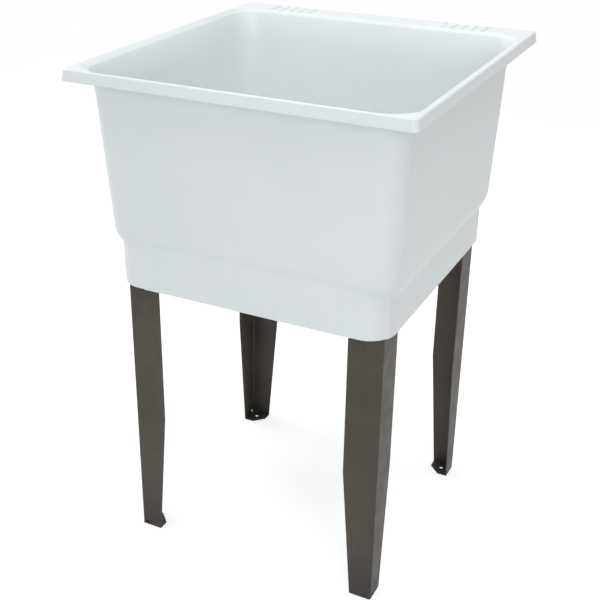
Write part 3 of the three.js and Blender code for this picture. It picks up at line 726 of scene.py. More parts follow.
def fillet_level(turn, depth_in):
    """The turn from the wall into the floor, at an angle of 0 at the wall and a quarter at the floor."""
    radius = BOWL_FILLET - depth_in
    start = bowl_wall(FILLET_TOP, depth_in)
    sunk = 1.0 - math.cos(turn)
    corner = start.front_radius + (FLOOR_CORNER_RADIUS - BOWL_CORNER_RADIUS) * sunk
    level = drawn_in(start, radius * sunk, 0.0)
    z = FILLET_TOP - radius * math.sin(turn)
    return level._replace(z=z, front_radius=corner, back_radius=corner)


def outline_gap(level, x, y):
    """How far a place lies outside a level's outline, and the outline's normal there."""
    behind = y > (level.front + level.back) / 2.0
    radius = level.back_radius if behind else level.front_radius
    side_x = math.copysign(1.0, x)
    side_y = 1.0 if behind else -1.0
    past_x = x * side_x - level.half + radius
    past_y = y * side_y - (level.back if behind else -level.front) + radius
    if past_x > 0.0 and past_y > 0.0:
        past = math.hypot(past_x, past_y)
        return past - radius, Vector((side_x * past_x / past, side_y * past_y / past, 0.0))
    if past_x > past_y:
        return past_x - radius, Vector((side_x, 0.0, 0.0))
    return past_y - radius, Vector((0.0, side_y, 0.0))


def fillet_turn_at(x, y, depth_in):
    """The angle on the turn into the floor at which it passes over a place."""
    low = 0.0
    high = QUARTER_TURN
    for _ in range(TURN_HALVINGS):
        middle = (low + high) / 2.0
        if outline_gap(fillet_level(middle, depth_in), x, y)[0] < 0.0:
            low = middle
        else:
            high = middle
    return low


def rim_level(z, inset, radius_loss):
    """The rim's outline at a height."""
    level = Level(z, RIM_HALF, RIM_FRONT, RIM_BACK, FRONT_CORNER_RADIUS, BACK_CORNER_RADIUS)
    return drawn_in(level, inset, radius_loss)


def skirt_level(z, inset):
    """The skirt's outline at a height."""
    level = Level(z, SKIRT_HALF, SKIRT_FRONT, SKIRT_BACK, SKIRT_FRONT_RADIUS, SKIRT_BACK_RADIUS)
    return drawn_in(level, inset)


def groove_stations():
    """Places along the deck with close steps at each groove's edges."""
    half = GROOVE_WIDTH / 2.0
    places = {0.0}
    for centre in GROOVE_CENTRES:
        places.update((centre - GROOVE_INSIDE_STEP, centre + GROOVE_INSIDE_STEP))
        for step in GROOVE_EDGE_STEPS:
            places.update((centre - half - step, centre + half + step))
    places.update(side * place for side in (-1, 1) for place in BETWEEN_RESTS)
    return sorted(places)


def front_stations():
    """Places along the front with close steps at the leg panels' edges."""
    places = [0.0]
    for place in (*FRONT_PLACES, *(PANEL_EDGE_X + step for step in PANEL_EDGE_STEPS)):
        places += [place, -place]
    return sorted(places)


def ring_stations():
    """The stations round every ring, anticlockwise from the front left."""
    left_turns = [90.0 - turn for turn in reversed(FRONT_CORNER_TURNS)]
    stations = [Station("front", place, (0.0, -1.0)) for place in front_stations()]
    stations += corner_stations("front_right", -90.0, FRONT_CORNER_TURNS)
    stations += [Station("right", place, (1.0, 0.0)) for place in SIDE_PLACES]
    stations += corner_stations("back_right", 0.0, BACK_CORNER_TURNS)
    stations += [Station("back", place, (0.0, 1.0)) for place in reversed(groove_stations())]
    stations += corner_stations("back_left", 90.0, BACK_CORNER_TURNS)
    stations += [Station("left", place, (-1.0, 0.0)) for place in SIDE_PLACES]
    stations += corner_stations("front_left", 180.0, left_turns)
    return stations


def corner_stations(side, start, turns):
    """Stations round one corner."""
    made = []
    for turn in turns:
        angle = math.radians(start + turn)
        made.append(Station(side, start + turn, (math.cos(angle), math.sin(angle))))
    return made


STATIONS = ring_stations()
FRONT_REACH = SKIRT_HALF - SKIRT_FRONT_RADIUS
DECK_REACH = 216.0


def station_point(level, station):
    """A station's point on one level."""
    side, place, (normal_x, normal_y) = station
    low = level.front + level.front_radius
    high = level.back - level.back_radius
    if "_" in side:
        at_front = side.startswith("front")
        radius = level.front_radius if at_front else level.back_radius
        centre_x = math.copysign(level.half - radius, 1.0 if side.endswith("right") else -1.0)
        centre_y = low if at_front else high
        return Vector((centre_x + radius * normal_x, centre_y + radius * normal_y, level.z))
    if side == "front":
        return Vector((place * (level.half - level.front_radius) / FRONT_REACH, level.front, level.z))
    if side == "back":
        spread = min((level.half - level.back_radius) / DECK_REACH, 1.0)
        return Vector((place * spread, level.back, level.z))
    if side == "right":
        return Vector((level.half, blend(low, high, place), level.z))
    return Vector((-level.half, blend(high, low, place), level.z))


def ring_points(level):
    """The points of one level, one for each station."""
    return [station_point(level, station) for station in STATIONS]


def round_points(radius, z, guide):
    """A circle about the drain whose points lie in the directions of a guide ring's points."""
    points = []
    for place in guide:
        angle = math.atan2(place.y - BOWL_CENTRE_Y, place.x)
        x = radius * math.cos(angle)
        y = BOWL_CENTRE_Y + radius * math.sin(angle)
        points.append(Vector((x, y, z)))
    return points


def between(first, second, parts):
    """Rings part of the way from one ring to another."""
    return [[blend(a, b, part) for a, b in zip(first, second)] for part in parts]


def softened(path):
    """The rings of a path of (ring, radius); where a radius is given the corner is rounded."""
    rings = []
    for index, (ring, radius) in enumerate(path):
        if not radius:
            rings.append(ring)
            continue
        before = path[index - 1][0]
        after = path[(index + 1) % len(path)][0]
        starts = [toward(here, there, radius) for here, there in zip(ring, before)]
        ends = [toward(here, there, radius) for here, there in zip(ring, after)]
        for step in range(ROUND_STEPS + 1):
            part = step / ROUND_STEPS
            rings.append([bezier(a, b, c, part) for a, b, c in zip(starts, ring, ends)])
    return rings


def toward(here, there, distance):
    """A point a distance from here toward there, and at most half way."""
    way = there - here
    length = max(way.length, 1e-6)
    return here + way * min(distance / length, MOST_OF_WAY)


def unrounded(rings):
    """Path entries for rings whose corners need no rounding."""
    return [(ring, 0) for ring in rings]


def smooth_rings(levels):
    """Path entries for levels whose corners need no rounding."""
    return unrounded(ring_points(level) for level in levels)


def tub_path():
    """The tub's section, from the drain hole over the bowl, the rim and the skirt and back."""
    turns = [QUARTER_TURN * step / FILLET_STEPS for step in range(FILLET_STEPS + 1)]
    floor_end = FLOOR_TOP - FLOOR_FALL
    inner_floor = ring_points(fillet_level(QUARTER_TURN, WALL))
    hole_top = round_points(DRAIN_HOLE_RADIUS, RECESS_TOP, inner_floor)
    recess_low = round_points(RECESS_RADIUS, RECESS_TOP, inner_floor)
    recess_high = round_points(RECESS_RADIUS, floor_end, inner_floor)
    path = [(hole_top, 0.5), (recess_low, 1.5), (recess_high, 2.0)]
    path += unrounded(between(recess_high, inner_floor, FLOOR_PARTS))
    path += smooth_rings(fillet_level(turn, WALL) for turn in reversed(turns))
    path += smooth_rings(bowl_wall(z, WALL) for z in INNER_WALL_ROWS)
    path += smooth_rings(lip_levels(WALL))
    path += deck_path()
    path += apron_path()
    path += smooth_rings(reversed(lip_levels(0.0)))
    path += smooth_rings(bowl_wall(z, 0.0) for z in OUTER_WALL_ROWS)
    path += skirt_path()
    under_floor = path[-1][0]
    under_edge = round_points(RECESS_RADIUS + WALL, floor_end - WALL, under_floor)
    under_recess = round_points(RECESS_RADIUS + WALL, RECESS_TOP - WALL, under_floor)
    hole_end = round_points(DRAIN_HOLE_RADIUS, RECESS_TOP - WALL, under_floor)
    path += unrounded(between(under_floor, under_edge, UNDER_FLOOR_PARTS))
    return path + [(under_edge, 2.0), (under_recess, 1.5), (hole_end, 0.5)]


def deck_path():
    """The rim's slope, its flat top, which is wide at the deck, and its rounded outer edge."""
    inner, flat = rim_slope(0.0)
    edge_start = APRON_FLARE + RIM_EDGE_RADIUS
    flat_back = RIM_BACK - edge_start
    flat_start = ring_points(flat)
    flat_end = ring_points(rim_level(RIM_HEIGHT, edge_start, RIM_EDGE_RADIUS))
    rows = [GROOVE_FRONT + step for step in GROOVE_FRONT_STEPS] + DECK_ROWS
    rows += [min(GROOVE_BACK, flat_back) - step for step in GROOVE_BACK_STEPS]
    parts = [(row - flat.back) / (flat_back - flat.back) for row in rows]
    path = [(ring_points(inner), 1.8), (flat_start, 1.2)]
    path += unrounded(between(flat_start, flat_end, parts))
    for step in reversed(range(EDGE_STEPS + 1)):
        angle = QUARTER_TURN * step / EDGE_STEPS
        turn = RIM_EDGE_RADIUS * (1.0 - math.cos(angle))
        z = RIM_HEIGHT - RIM_EDGE_RADIUS * (1.0 - math.sin(angle))
        path += smooth_rings([rim_level(z, APRON_FLARE + turn, turn)])
    return path


def apron_path():
    """The apron's lower edge and the channel behind it, whose roof follows the rim's slope."""
    low = RIM_HEIGHT - APRON_DROP
    flare = APRON_FLARE / (APRON_DROP - RIM_EDGE_RADIUS)
    roof_inset = WALL + (APRON_DROP - WALL) * flare
    inner, flat = [ring_points(level) for level in rim_slope(WALL)]
    roof_edge, roof_end = between(inner, flat, CHANNEL_ROOF_PARTS)
    return [
        (ring_points(rim_level(low + APRON_LOW_ROW, APRON_LOW_ROW * flare, 0.0)), 0),
        (ring_points(rim_level(low, 0.0, 0.0)), 0.9),
        (ring_points(rim_level(low, WALL, WALL)), 0.9),
        (ring_points(rim_level(RIM_HEIGHT - WALL, roof_inset, WALL)), 0.4),
        (roof_edge, 0.4),
        (roof_end, 1.5),
    ]


def panel_weight(point, station):
    """How far the skirt's outline is set back over a front leg, from 0 to 1."""
    if station.side == "front":
        return smoothstep(PANEL_EDGE_START, PANEL_EDGE_END, abs(point.x) - PANEL_EDGE_X)
    if station.side in ("front_left", "front_right"):
        turn = math.degrees(math.atan2(abs(station.normal[0]), -station.normal[1]))
        low, high = PANEL_END_TURN - PANEL_END_SOFTNESS, PANEL_END_TURN + PANEL_END_SOFTNESS
        return 1.0 - smoothstep(low, high, turn)
    return 0.0


def skirt_outline(inset, panel_depth):
    """The skirt's outline drawn in, with its leg panels pressed to a depth."""
    ring = []
    for point, station in zip(ring_points(skirt_level(SKIRT_BOTTOM, inset)), STATIONS):
        depth = panel_depth * panel_weight(point, station)
        ring.append(point - Vector((*station.normal, 0.0)) * depth)
    return ring


def raised(ring, heights):
    """A ring's points moved to their own heights."""
    return [Vector((point.x, point.y, z)) for point, z in zip(ring, heights)]


def turns_under(ring):
    """The angles on the bowl's outer turn at which it passes over a ring's points, and its heights there."""
    turns = [fillet_turn_at(point.x, point.y, 0.0) for point in ring]
    return turns, [FILLET_TOP - BOWL_FILLET * math.sin(turn) for turn in turns]


def rings_on_turn(first_turns, first_ring, last_turns, last_ring, parts):
    """Rings on the bowl's outer turn, part of the way from one ring on it to another."""
    rows = list(zip(STATIONS, first_turns, first_ring, last_turns, last_ring))
    shifts = []
    for station, turn, point, last_turn, last_point in rows:
        first_shift = point - station_point(fillet_level(turn, 0.0), station)
        last_shift = last_point - station_point(fillet_level(last_turn, 0.0), station)
        shifts.append((first_shift, last_shift))
    rings = []
    for part in parts:
        ring = []
        for (station, turn, _, last_turn, _), (first_shift, last_shift) in zip(rows, shifts):
            level = fillet_level(blend(turn, last_turn, part), 0.0)
            point = station_point(level, station) + blend(first_shift, last_shift, part)
            gap, normal = outline_gap(level, point.x, point.y)
            ring.append(point - normal * gap)
        rings.append(ring)
    return rings


def skirt_path():
    """The bowl's lower turn, the crease, the skirt's outside and inside, and the turn under it."""
    outline = skirt_outline(0.0, PANEL_DEPTH)
    inner_outline = skirt_outline(SKIRT_WALL, 0.0)
    turns, tops = turns_under(outline)
    inner_turns, inner_tops = turns_under(inner_outline)
    crease = raised(outline, tops)
    inner_crease = raised(inner_outline, inner_tops)
    wall_end = ring_points(fillet_level(0.0, 0.0))
    under_floor = ring_points(fillet_level(QUARTER_TURN, 0.0))
    wall_turns = [0.0] * len(STATIONS)
    floor_turns = [QUARTER_TURN] * len(STATIONS)
    outside = [raised(outline, [blend(top, SKIRT_BOTTOM, part) for top in tops]) for part in SKIRT_PARTS]
    inner_middle = raised(inner_outline, [blend(top, SKIRT_BOTTOM, 0.5) for top in inner_tops])
    path = unrounded([wall_end])
    path += unrounded(rings_on_turn(wall_turns, wall_end, turns, crease, SHOULDER_PARTS))
    path += [(crease, 2.5), *unrounded(outside), (outline, 0.8), (inner_outline, 0.8)]
    path += [(inner_middle, 0), (inner_crease, 2.0)]
    path += unrounded(rings_on_turn(inner_turns, inner_crease, floor_turns, under_floor, UNDER_PARTS))
    return path + unrounded([under_floor])


def press_groove(point):
    """Sinks a point of the deck into the soap rests' grooves."""
    groove_floor = RIM_HEIGHT - GROOVE_DEPTH
    if point.y < GROOVE_FRONT - GROOVE_CORNER or point.z < groove_floor:
        return point
    middle_y = (GROOVE_FRONT + GROOVE_BACK) / 2.0
    half_length = (GROOVE_BACK - GROOVE_FRONT) / 2.0
    centre = min(GROOVE_CENTRES, key=lambda place: abs(place - point.x))
    across = abs(point.x - centre) - (GROOVE_WIDTH / 2.0 - GROOVE_CORNER)
    along = abs(point.y - middle_y) - (half_length - GROOVE_CORNER)
    outside = math.hypot(max(across, 0.0), max(along, 0.0)) + min(max(across, along), 0.0)
    weight = 1.0 - smoothstep(-GROOVE_SIDE_INSIDE, GROOVE_SIDE_OUTSIDE, outside - GROOVE_CORNER)
    above = max(point.z - groove_floor, 0.0)
    return Vector((point.x, point.y, point.z - above * weight))


def rib_mesh(start, end, along):
    """A stop rib between two places on the floor plan, its top buried in the bowl's wall."""
    low = LEG_LENGTH + SEAT_GAP
    across = Vector((along[1], along[0], 0.0)) * STOP_RIB_HALF
    rings = []
    for step in range(RIB_STEPS + 1):
        place = blend(Vector((*start, low)), Vector((*end, low)), step / RIB_STEPS)
        turn = fillet_turn_at(place.x, place.y, WALL / 2.0)
        top = max(FILLET_TOP - (BOWL_FILLET - WALL / 2.0) * math.sin(turn), low + 0.5)
        rise = Vector((0.0, 0.0, top - low))
        rings.append([place - across, place + across, place + across + rise, place - across + rise])
    return skinned(rings, False)


def wall_depth(place, half_width, reach, radius, panel_depth):
    """How deep in the skirt a rib or boss ends, so that it stays in the wall where a corner turns."""
    past = max(abs(place) + half_width - reach + radius, 0.0)
    turned = radius - math.sqrt(radius * radius - past * past)
    return max(turned + panel_depth + 0.1, SKIRT_WALL * 2.0 / 3.0)


def leg_pocket_meshes(leg):
    """The ribs and bosses inside the skirt that hold one leg."""
    ribs = []
    front = leg.side_y < 0
    radius = SKIRT_FRONT_RADIUS if front else SKIRT_BACK_RADIUS
    panel_depth = PANEL_DEPTH if front else 0.0

    def inward(distance):
        return leg.x - leg.side_x * distance, leg.y - leg.side_y * distance

    def wall_at_x(x, half_width):
        depth = wall_depth(x, half_width, SKIRT_HALF, radius, panel_depth)
        return leg.skirt_y - leg.side_y * depth

    def wall_at_y(y, half_width):
        depth = wall_depth(y, half_width, abs(leg.skirt_y), radius, 0.0)
        return leg.side_x * (SKIRT_HALF - depth)

    inner_x, inner_y = inward(STOP_RIB_REACH)
    for place in STOP_RIB_PLACES:
        x, y = inward(place)
        ribs.append(rib_mesh((x, wall_at_x(x, STOP_RIB_HALF)), (x, inner_y), (0.0, 1.0)))
        ribs.append(rib_mesh((wall_at_y(y, STOP_RIB_HALF), y), (inner_x, y), (1.0, 0.0)))
    boss_x, boss_y = inward(SCREW_FROM_CORNER)
    bosses = [
        boss_mesh(boss_x, leg.y, wall_at_x(boss_x, BOSS_RADIUS), True),
        boss_mesh(boss_y, leg.x, wall_at_y(boss_y, BOSS_RADIUS), False),
    ]
    return [bevelled(rib, 0.4) for rib in ribs] + bosses


def boss_mesh(across, flange_face, wall_face, along_y):
    """A screw boss from the skirt's wall to a leg's flange."""
    outward = math.copysign(1.0, wall_face)
    length = abs(wall_face - flange_face) - SEAT_GAP
    mesh = ring_mesh(BOSS_RADIUS, SCREW_HOLE_RADIUS, 0.0, length, 0.5, 40)
    start = flange_face + outward * SEAT_GAP
    if along_y:
        mesh.transform(placed((across, start, SCREW_HEIGHT), -90.0 * outward, "X"))
    else:
        mesh.transform(placed((start, across, SCREW_HEIGHT), 90.0 * outward, "Y"))
    return mesh


def make_tub(material):
    """The tub as one moulding."""
    shaped = [[press_groove(point) for point in ring] for ring in softened(tub_path())]
    pockets = [mesh for leg in LEGS for mesh in leg_pocket_meshes(leg)]
    mesh = joined([skinned(shaped, True), *pockets], "tub")
    add_piece("tub_moulding", mesh, material, "tub")


# ------------------------------------------------------------------ legs

BEND_STEPS = 8
TAB_INSET = 0.6
DRILL_LENGTH = 12.0


def bend_points(radius):
    """The leg's bend about its own centre, from the flange along X to the flange along Y."""
    turns = [QUARTER_TURN * (1.0 - step / BEND_STEPS) for step in range(BEND_STEPS + 1)]
    return [
        (radius * math.cos(turn) - LEG_BEND_RADIUS, radius * math.sin(turn) - LEG_BEND_RADIUS)
        for turn in turns
    ]


def leg_ring(width, z):
    """The leg's angle section at a height, its outer corner at the origin."""
    points = [(-width, 0.0), (-width, -LEG_THICKNESS)]
    points += bend_points(LEG_BEND_RADIUS - LEG_THICKNESS)
    points += [(-LEG_THICKNESS, -width), (0.0, -width)]
    points += reversed(bend_points(LEG_BEND_RADIUS))
    return [Vector((x, y, z)) for x, y in points]


def foot_tab_mesh():
    """The tab folded in under the leg, its inner corner cut off."""
    start = -TAB_INSET
    edge = -FLANGE_FOOT_WIDTH
    cut = edge + FOOT_CHAMFER
    outline = [(start, start), (edge, start), (edge, cut), (cut, edge), (start, edge)]
    return skinned([[Vector((x, y, z)) for x, y in outline] for z in (0.0, LEG_THICKNESS)], False)


def drill_mesh(radius, place, degrees=0.0, axis="Z"):
    """A drill for cutting a hole at a place, turned about an axis from upright."""
    section = [(radius, -DRILL_LENGTH / 2.0), (radius, DRILL_LENGTH / 2.0)]
    mesh = turned_mesh(section, 40, closed=False)
    mesh.transform(placed(place, degrees, axis))
    return mesh


def leg_mesh():
    """One pressed leg with its outer corner on the Z axis."""
    kink = [leg_ring(FLANGE_WIDTH, height) for height in (KINK_HEIGHT, LEG_LENGTH)]
    angle = skinned([leg_ring(FLANGE_FOOT_WIDTH, 0.0), *kink], False)
    relief_place = (-RELIEF_HOLE_INSET, 0.0, RELIEF_HOLE_HEIGHT)
    drills = [
        drill_mesh(FOOT_HOLE_RADIUS, (-FOOT_HOLE_INSET, -FOOT_HOLE_INSET, 0.0)),
        drill_mesh(RELIEF_HOLE_RADIUS, relief_place, 90.0, "X"),
        drill_mesh(SCREW_HOLE_RADIUS, (-SCREW_FROM_CORNER, 0.0, SCREW_HEIGHT), 90.0, "X"),
        drill_mesh(SCREW_HOLE_RADIUS, (0.0, -SCREW_FROM_CORNER, SCREW_HEIGHT), 90.0, "Y"),
    ]
    whole = combined(combined(angle, [foot_tab_mesh()], "UNION"), drills, "DIFFERENCE")
    return evenly_shaded(bevelled(whole, 0.35, 2, 40.0), 60.0)


def make_legs(material):
    """The four legs, each turned to its corner."""
    pattern = leg_mesh()
    for leg in LEGS:
        mesh = pattern.copy()
        mesh.transform(placed((leg.x, leg.y, 0.0), leg.turn, "Z"))
        add_piece(f"pressed_leg_{leg.name}", mesh, material, f"leg_{leg.name}")


# ------------------------------------------------------------------ leg screws

SCREW_LENGTH = 10.0
SCREW_TIP_LENGTH = 0.9
SCREW_TIP_RADIUS = 1.3
SCREW_ROOT_RADIUS = 1.95
SCREW_CREST_RADIUS = 2.4
SCREW_NECK_RADIUS = 2.2
SCREW_PITCH = 0.86
SCREW_THREADS = 10
COLLAR_RADIUS = 6.25
COLLAR_TOP_RADIUS = 5.2
COLLAR_HEIGHT = 1.2
COLLAR_EDGE_HEIGHT = 0.7
HEAD_ACROSS = 8.0
HEAD_HEIGHT = 4.5


def screw_mesh():
    """A hex washer-head screw along Z, its collar's underside at the origin."""
    shank = [(SCREW_TIP_RADIUS, -SCREW_LENGTH)]
    for index in range(SCREW_THREADS):
        z = SCREW_TIP_LENGTH - SCREW_LENGTH + index * SCREW_PITCH
        shank += [(SCREW_ROOT_RADIUS, z), (SCREW_CREST_RADIUS, z + 0.3), (SCREW_ROOT_RADIUS, z + 0.6)]
    shank.append((SCREW_NECK_RADIUS, 0.4))
    edge = (COLLAR_RADIUS, COLLAR_EDGE_HEIGHT)
    top = (COLLAR_TOP_RADIUS, COLLAR_HEIGHT)
    collar = [(0.0, 0.0), (COLLAR_RADIUS, 0.0), edge, top, (0.0, COLLAR_HEIGHT)]
    parts = [
        turned_mesh(shank, 32, closed=False),
        turned_mesh(rounded_section(collar, 0.25, closed=False)[1:-1], 48, closed=False),
        hex_head_mesh(HEAD_ACROSS, COLLAR_HEIGHT / 2.0, HEAD_HEIGHT),
    ]
    return joined(parts, "screw")


def hexagon_prism(across, low, high):
    """A six-sided block of a size across its flats."""
    corner = across / math.sqrt(3.0)
    turns = [math.radians(60.0 * side) for side in range(6)]
    hexagon = [(corner * math.cos(turn), corner * math.sin(turn)) for turn in turns]
    return skinned([[Vector((x, y, z)) for x, y in hexagon] for z in (low, high)], False)


def hex_head_mesh(across, low, high):
    """A six-sided head whose top corners are turned off."""
    outer = across / math.sqrt(3.0) + 0.3
    dome_section = [(outer, low - 1.0), (outer, high - 0.75), (across / 2.0 - 0.2, high)]
    dome = turned_mesh(dome_section, 48, closed=False)
    return bevelled(combined(hexagon_prism(across, low, high), [dome], "INTERSECT"), 0.15, 2, 30.0)


def make_leg_screws(material):
    """Two screws for each leg, driven outward through its flanges."""
    pattern = screw_mesh()
    inward = LEG_THICKNESS + SEAT_GAP
    for leg in LEGS:
        across_x = leg.x - leg.side_x * SCREW_FROM_CORNER
        across_y = leg.y - leg.side_y * SCREW_FROM_CORNER
        face_place = (across_x, leg.y - leg.side_y * inward, SCREW_HEIGHT)
        side_place = (leg.x - leg.side_x * inward, across_y, SCREW_HEIGHT)
        screws = {
            "face": placed(face_place, 90.0 * leg.side_y, "X"),
            "side": placed(side_place, -90.0 * leg.side_x, "Y"),
        }
        for label, place in screws.items():
            mesh = pattern.copy()
            mesh.transform(place)
            name = f"{leg.name}_{label}"
            add_piece(f"hex_screw_{name}", mesh, material, f"leg_screw_{name}", sharp=40.0)


# ------------------------------------------------------------------ drain

FLANGE_RADIUS = 41.0
FLANGE_THICKNESS = 3.0
BODY_LENGTH = 48.0
BODY_RADIUS = 23.75
BODY_BORE = 20.0
THREAD_PITCH = 1.9
THREAD_DEPTH = 0.8
SEAT_MOUTH = 23.0
SEAT_DEPTH = 12.0
STRAINER_DEPTH = 22.0
STRAINER_HEIGHT = 4.0
STRAINER_HALF_BAR = 1.5
GASKET_RADIUS = 37.0
GASKET_THICKNESS = 3.0
SLIP_RING_RADIUS = 35.0
SLIP_RING_THICKNESS = 1.0
LOCKNUT_RADIUS = 30.0
LOCKNUT_HEIGHT = 9.0
LOCKNUT_LUGS = 6
LUG_REACH = 4.0
LUG_HALF_WIDTH = 4.5
TAIL_RADIUS = 19.05
TAIL_BORE = 17.45
TAIL_LENGTH = 102.0
TAIL_FLANGE_RADIUS = 23.0
TAIL_FLANGE_THICKNESS = 2.0
TAIL_SEAL_THICKNESS = 2.2
COUPLING_ACROSS = 54.0
COUPLING_TURNED_RADIUS = 29.16
COUPLING_FACE_RADIUS = 26.5
COUPLING_CHAMFER = 1.6
COUPLING_HEIGHT = 22.0
COUPLING_LIP = 3.0
PLUG_DEPTH = 11.0
PLUG_RIM_THICKNESS = 2.5
GRIP_HEIGHT = 13.0
THREAD_CLEAR = BODY_RADIUS + SEAT_GAP
TAIL_CLEAR = TAIL_RADIUS + SEAT_GAP

# Heights down the drain, from the flange in the recess to the coupling nut
FLANGE_UNDER = RECESS_TOP + SEAT_GAP
FLANGE_TOP = FLANGE_UNDER + FLANGE_THICKNESS
BODY_END = FLANGE_UNDER - BODY_LENGTH
GASKET_TOP = RECESS_TOP - WALL - SEAT_GAP
SLIP_RING_TOP = GASKET_TOP - GASKET_THICKNESS - SEAT_GAP
LOCKNUT_TOP = SLIP_RING_TOP - SLIP_RING_THICKNESS - SEAT_GAP
LOCKNUT_UNDER = LOCKNUT_TOP - LOCKNUT_HEIGHT
TAIL_SEAL_TOP = BODY_END - SEAT_GAP
TAIL_TOP = TAIL_SEAL_TOP - TAIL_SEAL_THICKNESS - SEAT_GAP
TAIL_FLANGE_UNDER = TAIL_TOP - TAIL_FLANGE_THICKNESS
COUPLING_LIP_TOP = TAIL_FLANGE_UNDER - SEAT_GAP
COUPLING_UNDER = COUPLING_LIP_TOP - COUPLING_LIP
COUPLING_TOP = COUPLING_UNDER + COUPLING_HEIGHT


def add_drain_piece(name, mesh, material, node, body="sink"):
    """A piece about the drain's axis that stands for one node."""
    mesh.transform(placed((0.0, BOWL_CENTRE_Y, 0.0), 0.0, "Z"))
    add_piece(name, mesh, material, node, body, sharp=42.0)


def threaded_side(radius, low, high):
    """Points up the outside of a thread, drawn as close rings."""
    root = radius - THREAD_DEPTH
    points = []
    z = low
    while z + THREAD_PITCH < high:
        points += [(root, z, 0.0), (radius, z + THREAD_PITCH * 0.5, 0.0)]
        z += THREAD_PITCH
    return points + [(root, z, 0.0)]


def drain_body_mesh():
    """The flanged sleeve with the stopper's seat, its thread and the strainer cross."""
    neck = BODY_RADIUS - 0.2
    section = [
        (BODY_BORE, BODY_END, 0.4),
        (BODY_RADIUS - THREAD_DEPTH, BODY_END, 0.4),
        *threaded_side(BODY_RADIUS, BODY_END + 1.0, LOCKNUT_TOP - 1.0),
        (neck, LOCKNUT_TOP + 1.0, 0.2),
        (neck, FLANGE_UNDER, 0.3),
        (FLANGE_RADIUS - 0.7, FLANGE_UNDER, 0.3),
        (FLANGE_RADIUS, FLANGE_UNDER + 0.9, 0.5),
        (FLANGE_RADIUS - 2.4, FLANGE_TOP - 0.3, 1.2),
        (31.0, FLANGE_TOP - 0.1, 2.0),
        (SEAT_MOUTH + 2.2, FLANGE_TOP, 1.4),
        (SEAT_MOUTH, FLANGE_TOP - 0.6, 0.8),
        (BODY_BORE, FLANGE_TOP - SEAT_DEPTH, 1.5),
    ]
    sleeve = turned_mesh(rounded_section(section, 0.3), 128)
    top = FLANGE_TOP - STRAINER_DEPTH
    under = top - STRAINER_HEIGHT
    reach = (BODY_BORE + BODY_RADIUS) / 2.0
    half = STRAINER_HALF_BAR
    bar = block_mesh((-reach, -half, under), (reach, half, top))
    crossing_bar = block_mesh((-half, -reach, under), (half, reach, top))
    cross = bevelled(combined(bar, [crossing_bar], "UNION"), 0.9, 3)
    return joined([sleeve, cross], "drain_body")


def locknut_mesh():
    """The locknut with spanner lugs round it."""
    low = (LOCKNUT_RADIUS - 1.5, -LUG_HALF_WIDTH, LOCKNUT_UNDER)
    high = (LOCKNUT_RADIUS + LUG_REACH, LUG_HALF_WIDTH, LOCKNUT_TOP)
    parts = [ring_mesh(LOCKNUT_RADIUS, THREAD_CLEAR, LOCKNUT_UNDER, LOCKNUT_TOP, 0.6)]
    for index in range(LOCKNUT_LUGS):
        lug = bevelled(block_mesh(low, high), 1.0, 3)
        lug.transform(placed((0.0, 0.0, 0.0), 360.0 / LOCKNUT_LUGS * index, "Z"))
        parts.append(lug)
    return joined(parts, "locknut")


def tailpiece_mesh():
    """The thin tube hung by its rolled flange."""
    end = TAIL_TOP - TAIL_LENGTH
    section = [
        (TAIL_BORE, end, 0.3),
        (TAIL_RADIUS, end, 0.5),
        (TAIL_RADIUS, TAIL_FLANGE_UNDER, 0.4),
        (TAIL_FLANGE_RADIUS, TAIL_FLANGE_UNDER, 0.9),
        (TAIL_FLANGE_RADIUS, TAIL_TOP, 0.9),
        (TAIL_BORE, TAIL_TOP, 1.5),
    ]
    return turned_mesh(rounded_section(section, 0.4), 128)


def coupling_nut_mesh():
    """The coupling nut: six flats with turned corners, and a lip under the tailpiece's flange."""
    outside = [
        (COUPLING_FACE_RADIUS, COUPLING_UNDER),
        (COUPLING_TURNED_RADIUS, COUPLING_UNDER + COUPLING_CHAMFER),
        (COUPLING_TURNED_RADIUS, COUPLING_TOP - COUPLING_CHAMFER),
        (COUPLING_FACE_RADIUS, COUPLING_TOP),
    ]
    inside = [
        (TAIL_CLEAR, COUPLING_UNDER - 2.0),
        (TAIL_CLEAR, COUPLING_LIP_TOP),
        (THREAD_CLEAR, COUPLING_LIP_TOP),
        (THREAD_CLEAR, COUPLING_TOP - 1.0),
        (THREAD_CLEAR + 2.0, COUPLING_TOP + 1.0),
    ]
    body = hexagon_prism(COUPLING_ACROSS, COUPLING_UNDER, COUPLING_TOP)
    body = combined(body, [turned_mesh(outside, 96, closed=False)], "INTERSECT")
    body = combined(body, [turned_mesh(inside, 96, closed=False)], "DIFFERENCE")
    return bevelled(body, 0.3, 2, 25.0)


def stopper_mesh():
    """The rubber stopper: a tapered plug with a rim, and a grip to lift it by."""
    plug_end = FLANGE_TOP - PLUG_DEPTH
    plug_radius = SEAT_MOUTH - SEAT_GAP
    rim_under = FLANGE_TOP + SEAT_GAP
    rim_top = rim_under + PLUG_RIM_THICKNESS
    grip_top = rim_top + GRIP_HEIGHT
    section = [
        (0.01, plug_end),
        (19.95, plug_end, 1.2),
        (plug_radius, FLANGE_TOP, 0.3),
        (plug_radius, rim_under, 0.2),
        (25.0, rim_under, 0.4),
        (26.0, rim_under + 1.0, 0.6),
        (25.0, rim_top, 0.9),
        (21.5, rim_top, 0.5),
        (20.8, rim_top - 0.7, 0.5),
        (9.0, rim_top - 0.5, 2.0),
        (4.0, rim_top + 2.0, 2.5),
        (4.0, grip_top - 5.6, 1.5),
        (8.5, grip_top - 3.9, 1.0),
        (8.5, grip_top - 1.9, 1.3),
        (6.0, grip_top, 1.4),
        (0.01, grip_top),
    ]
    return turned_mesh(rounded_section(section, 0.5, closed=False, steps=5), 96, closed=False)


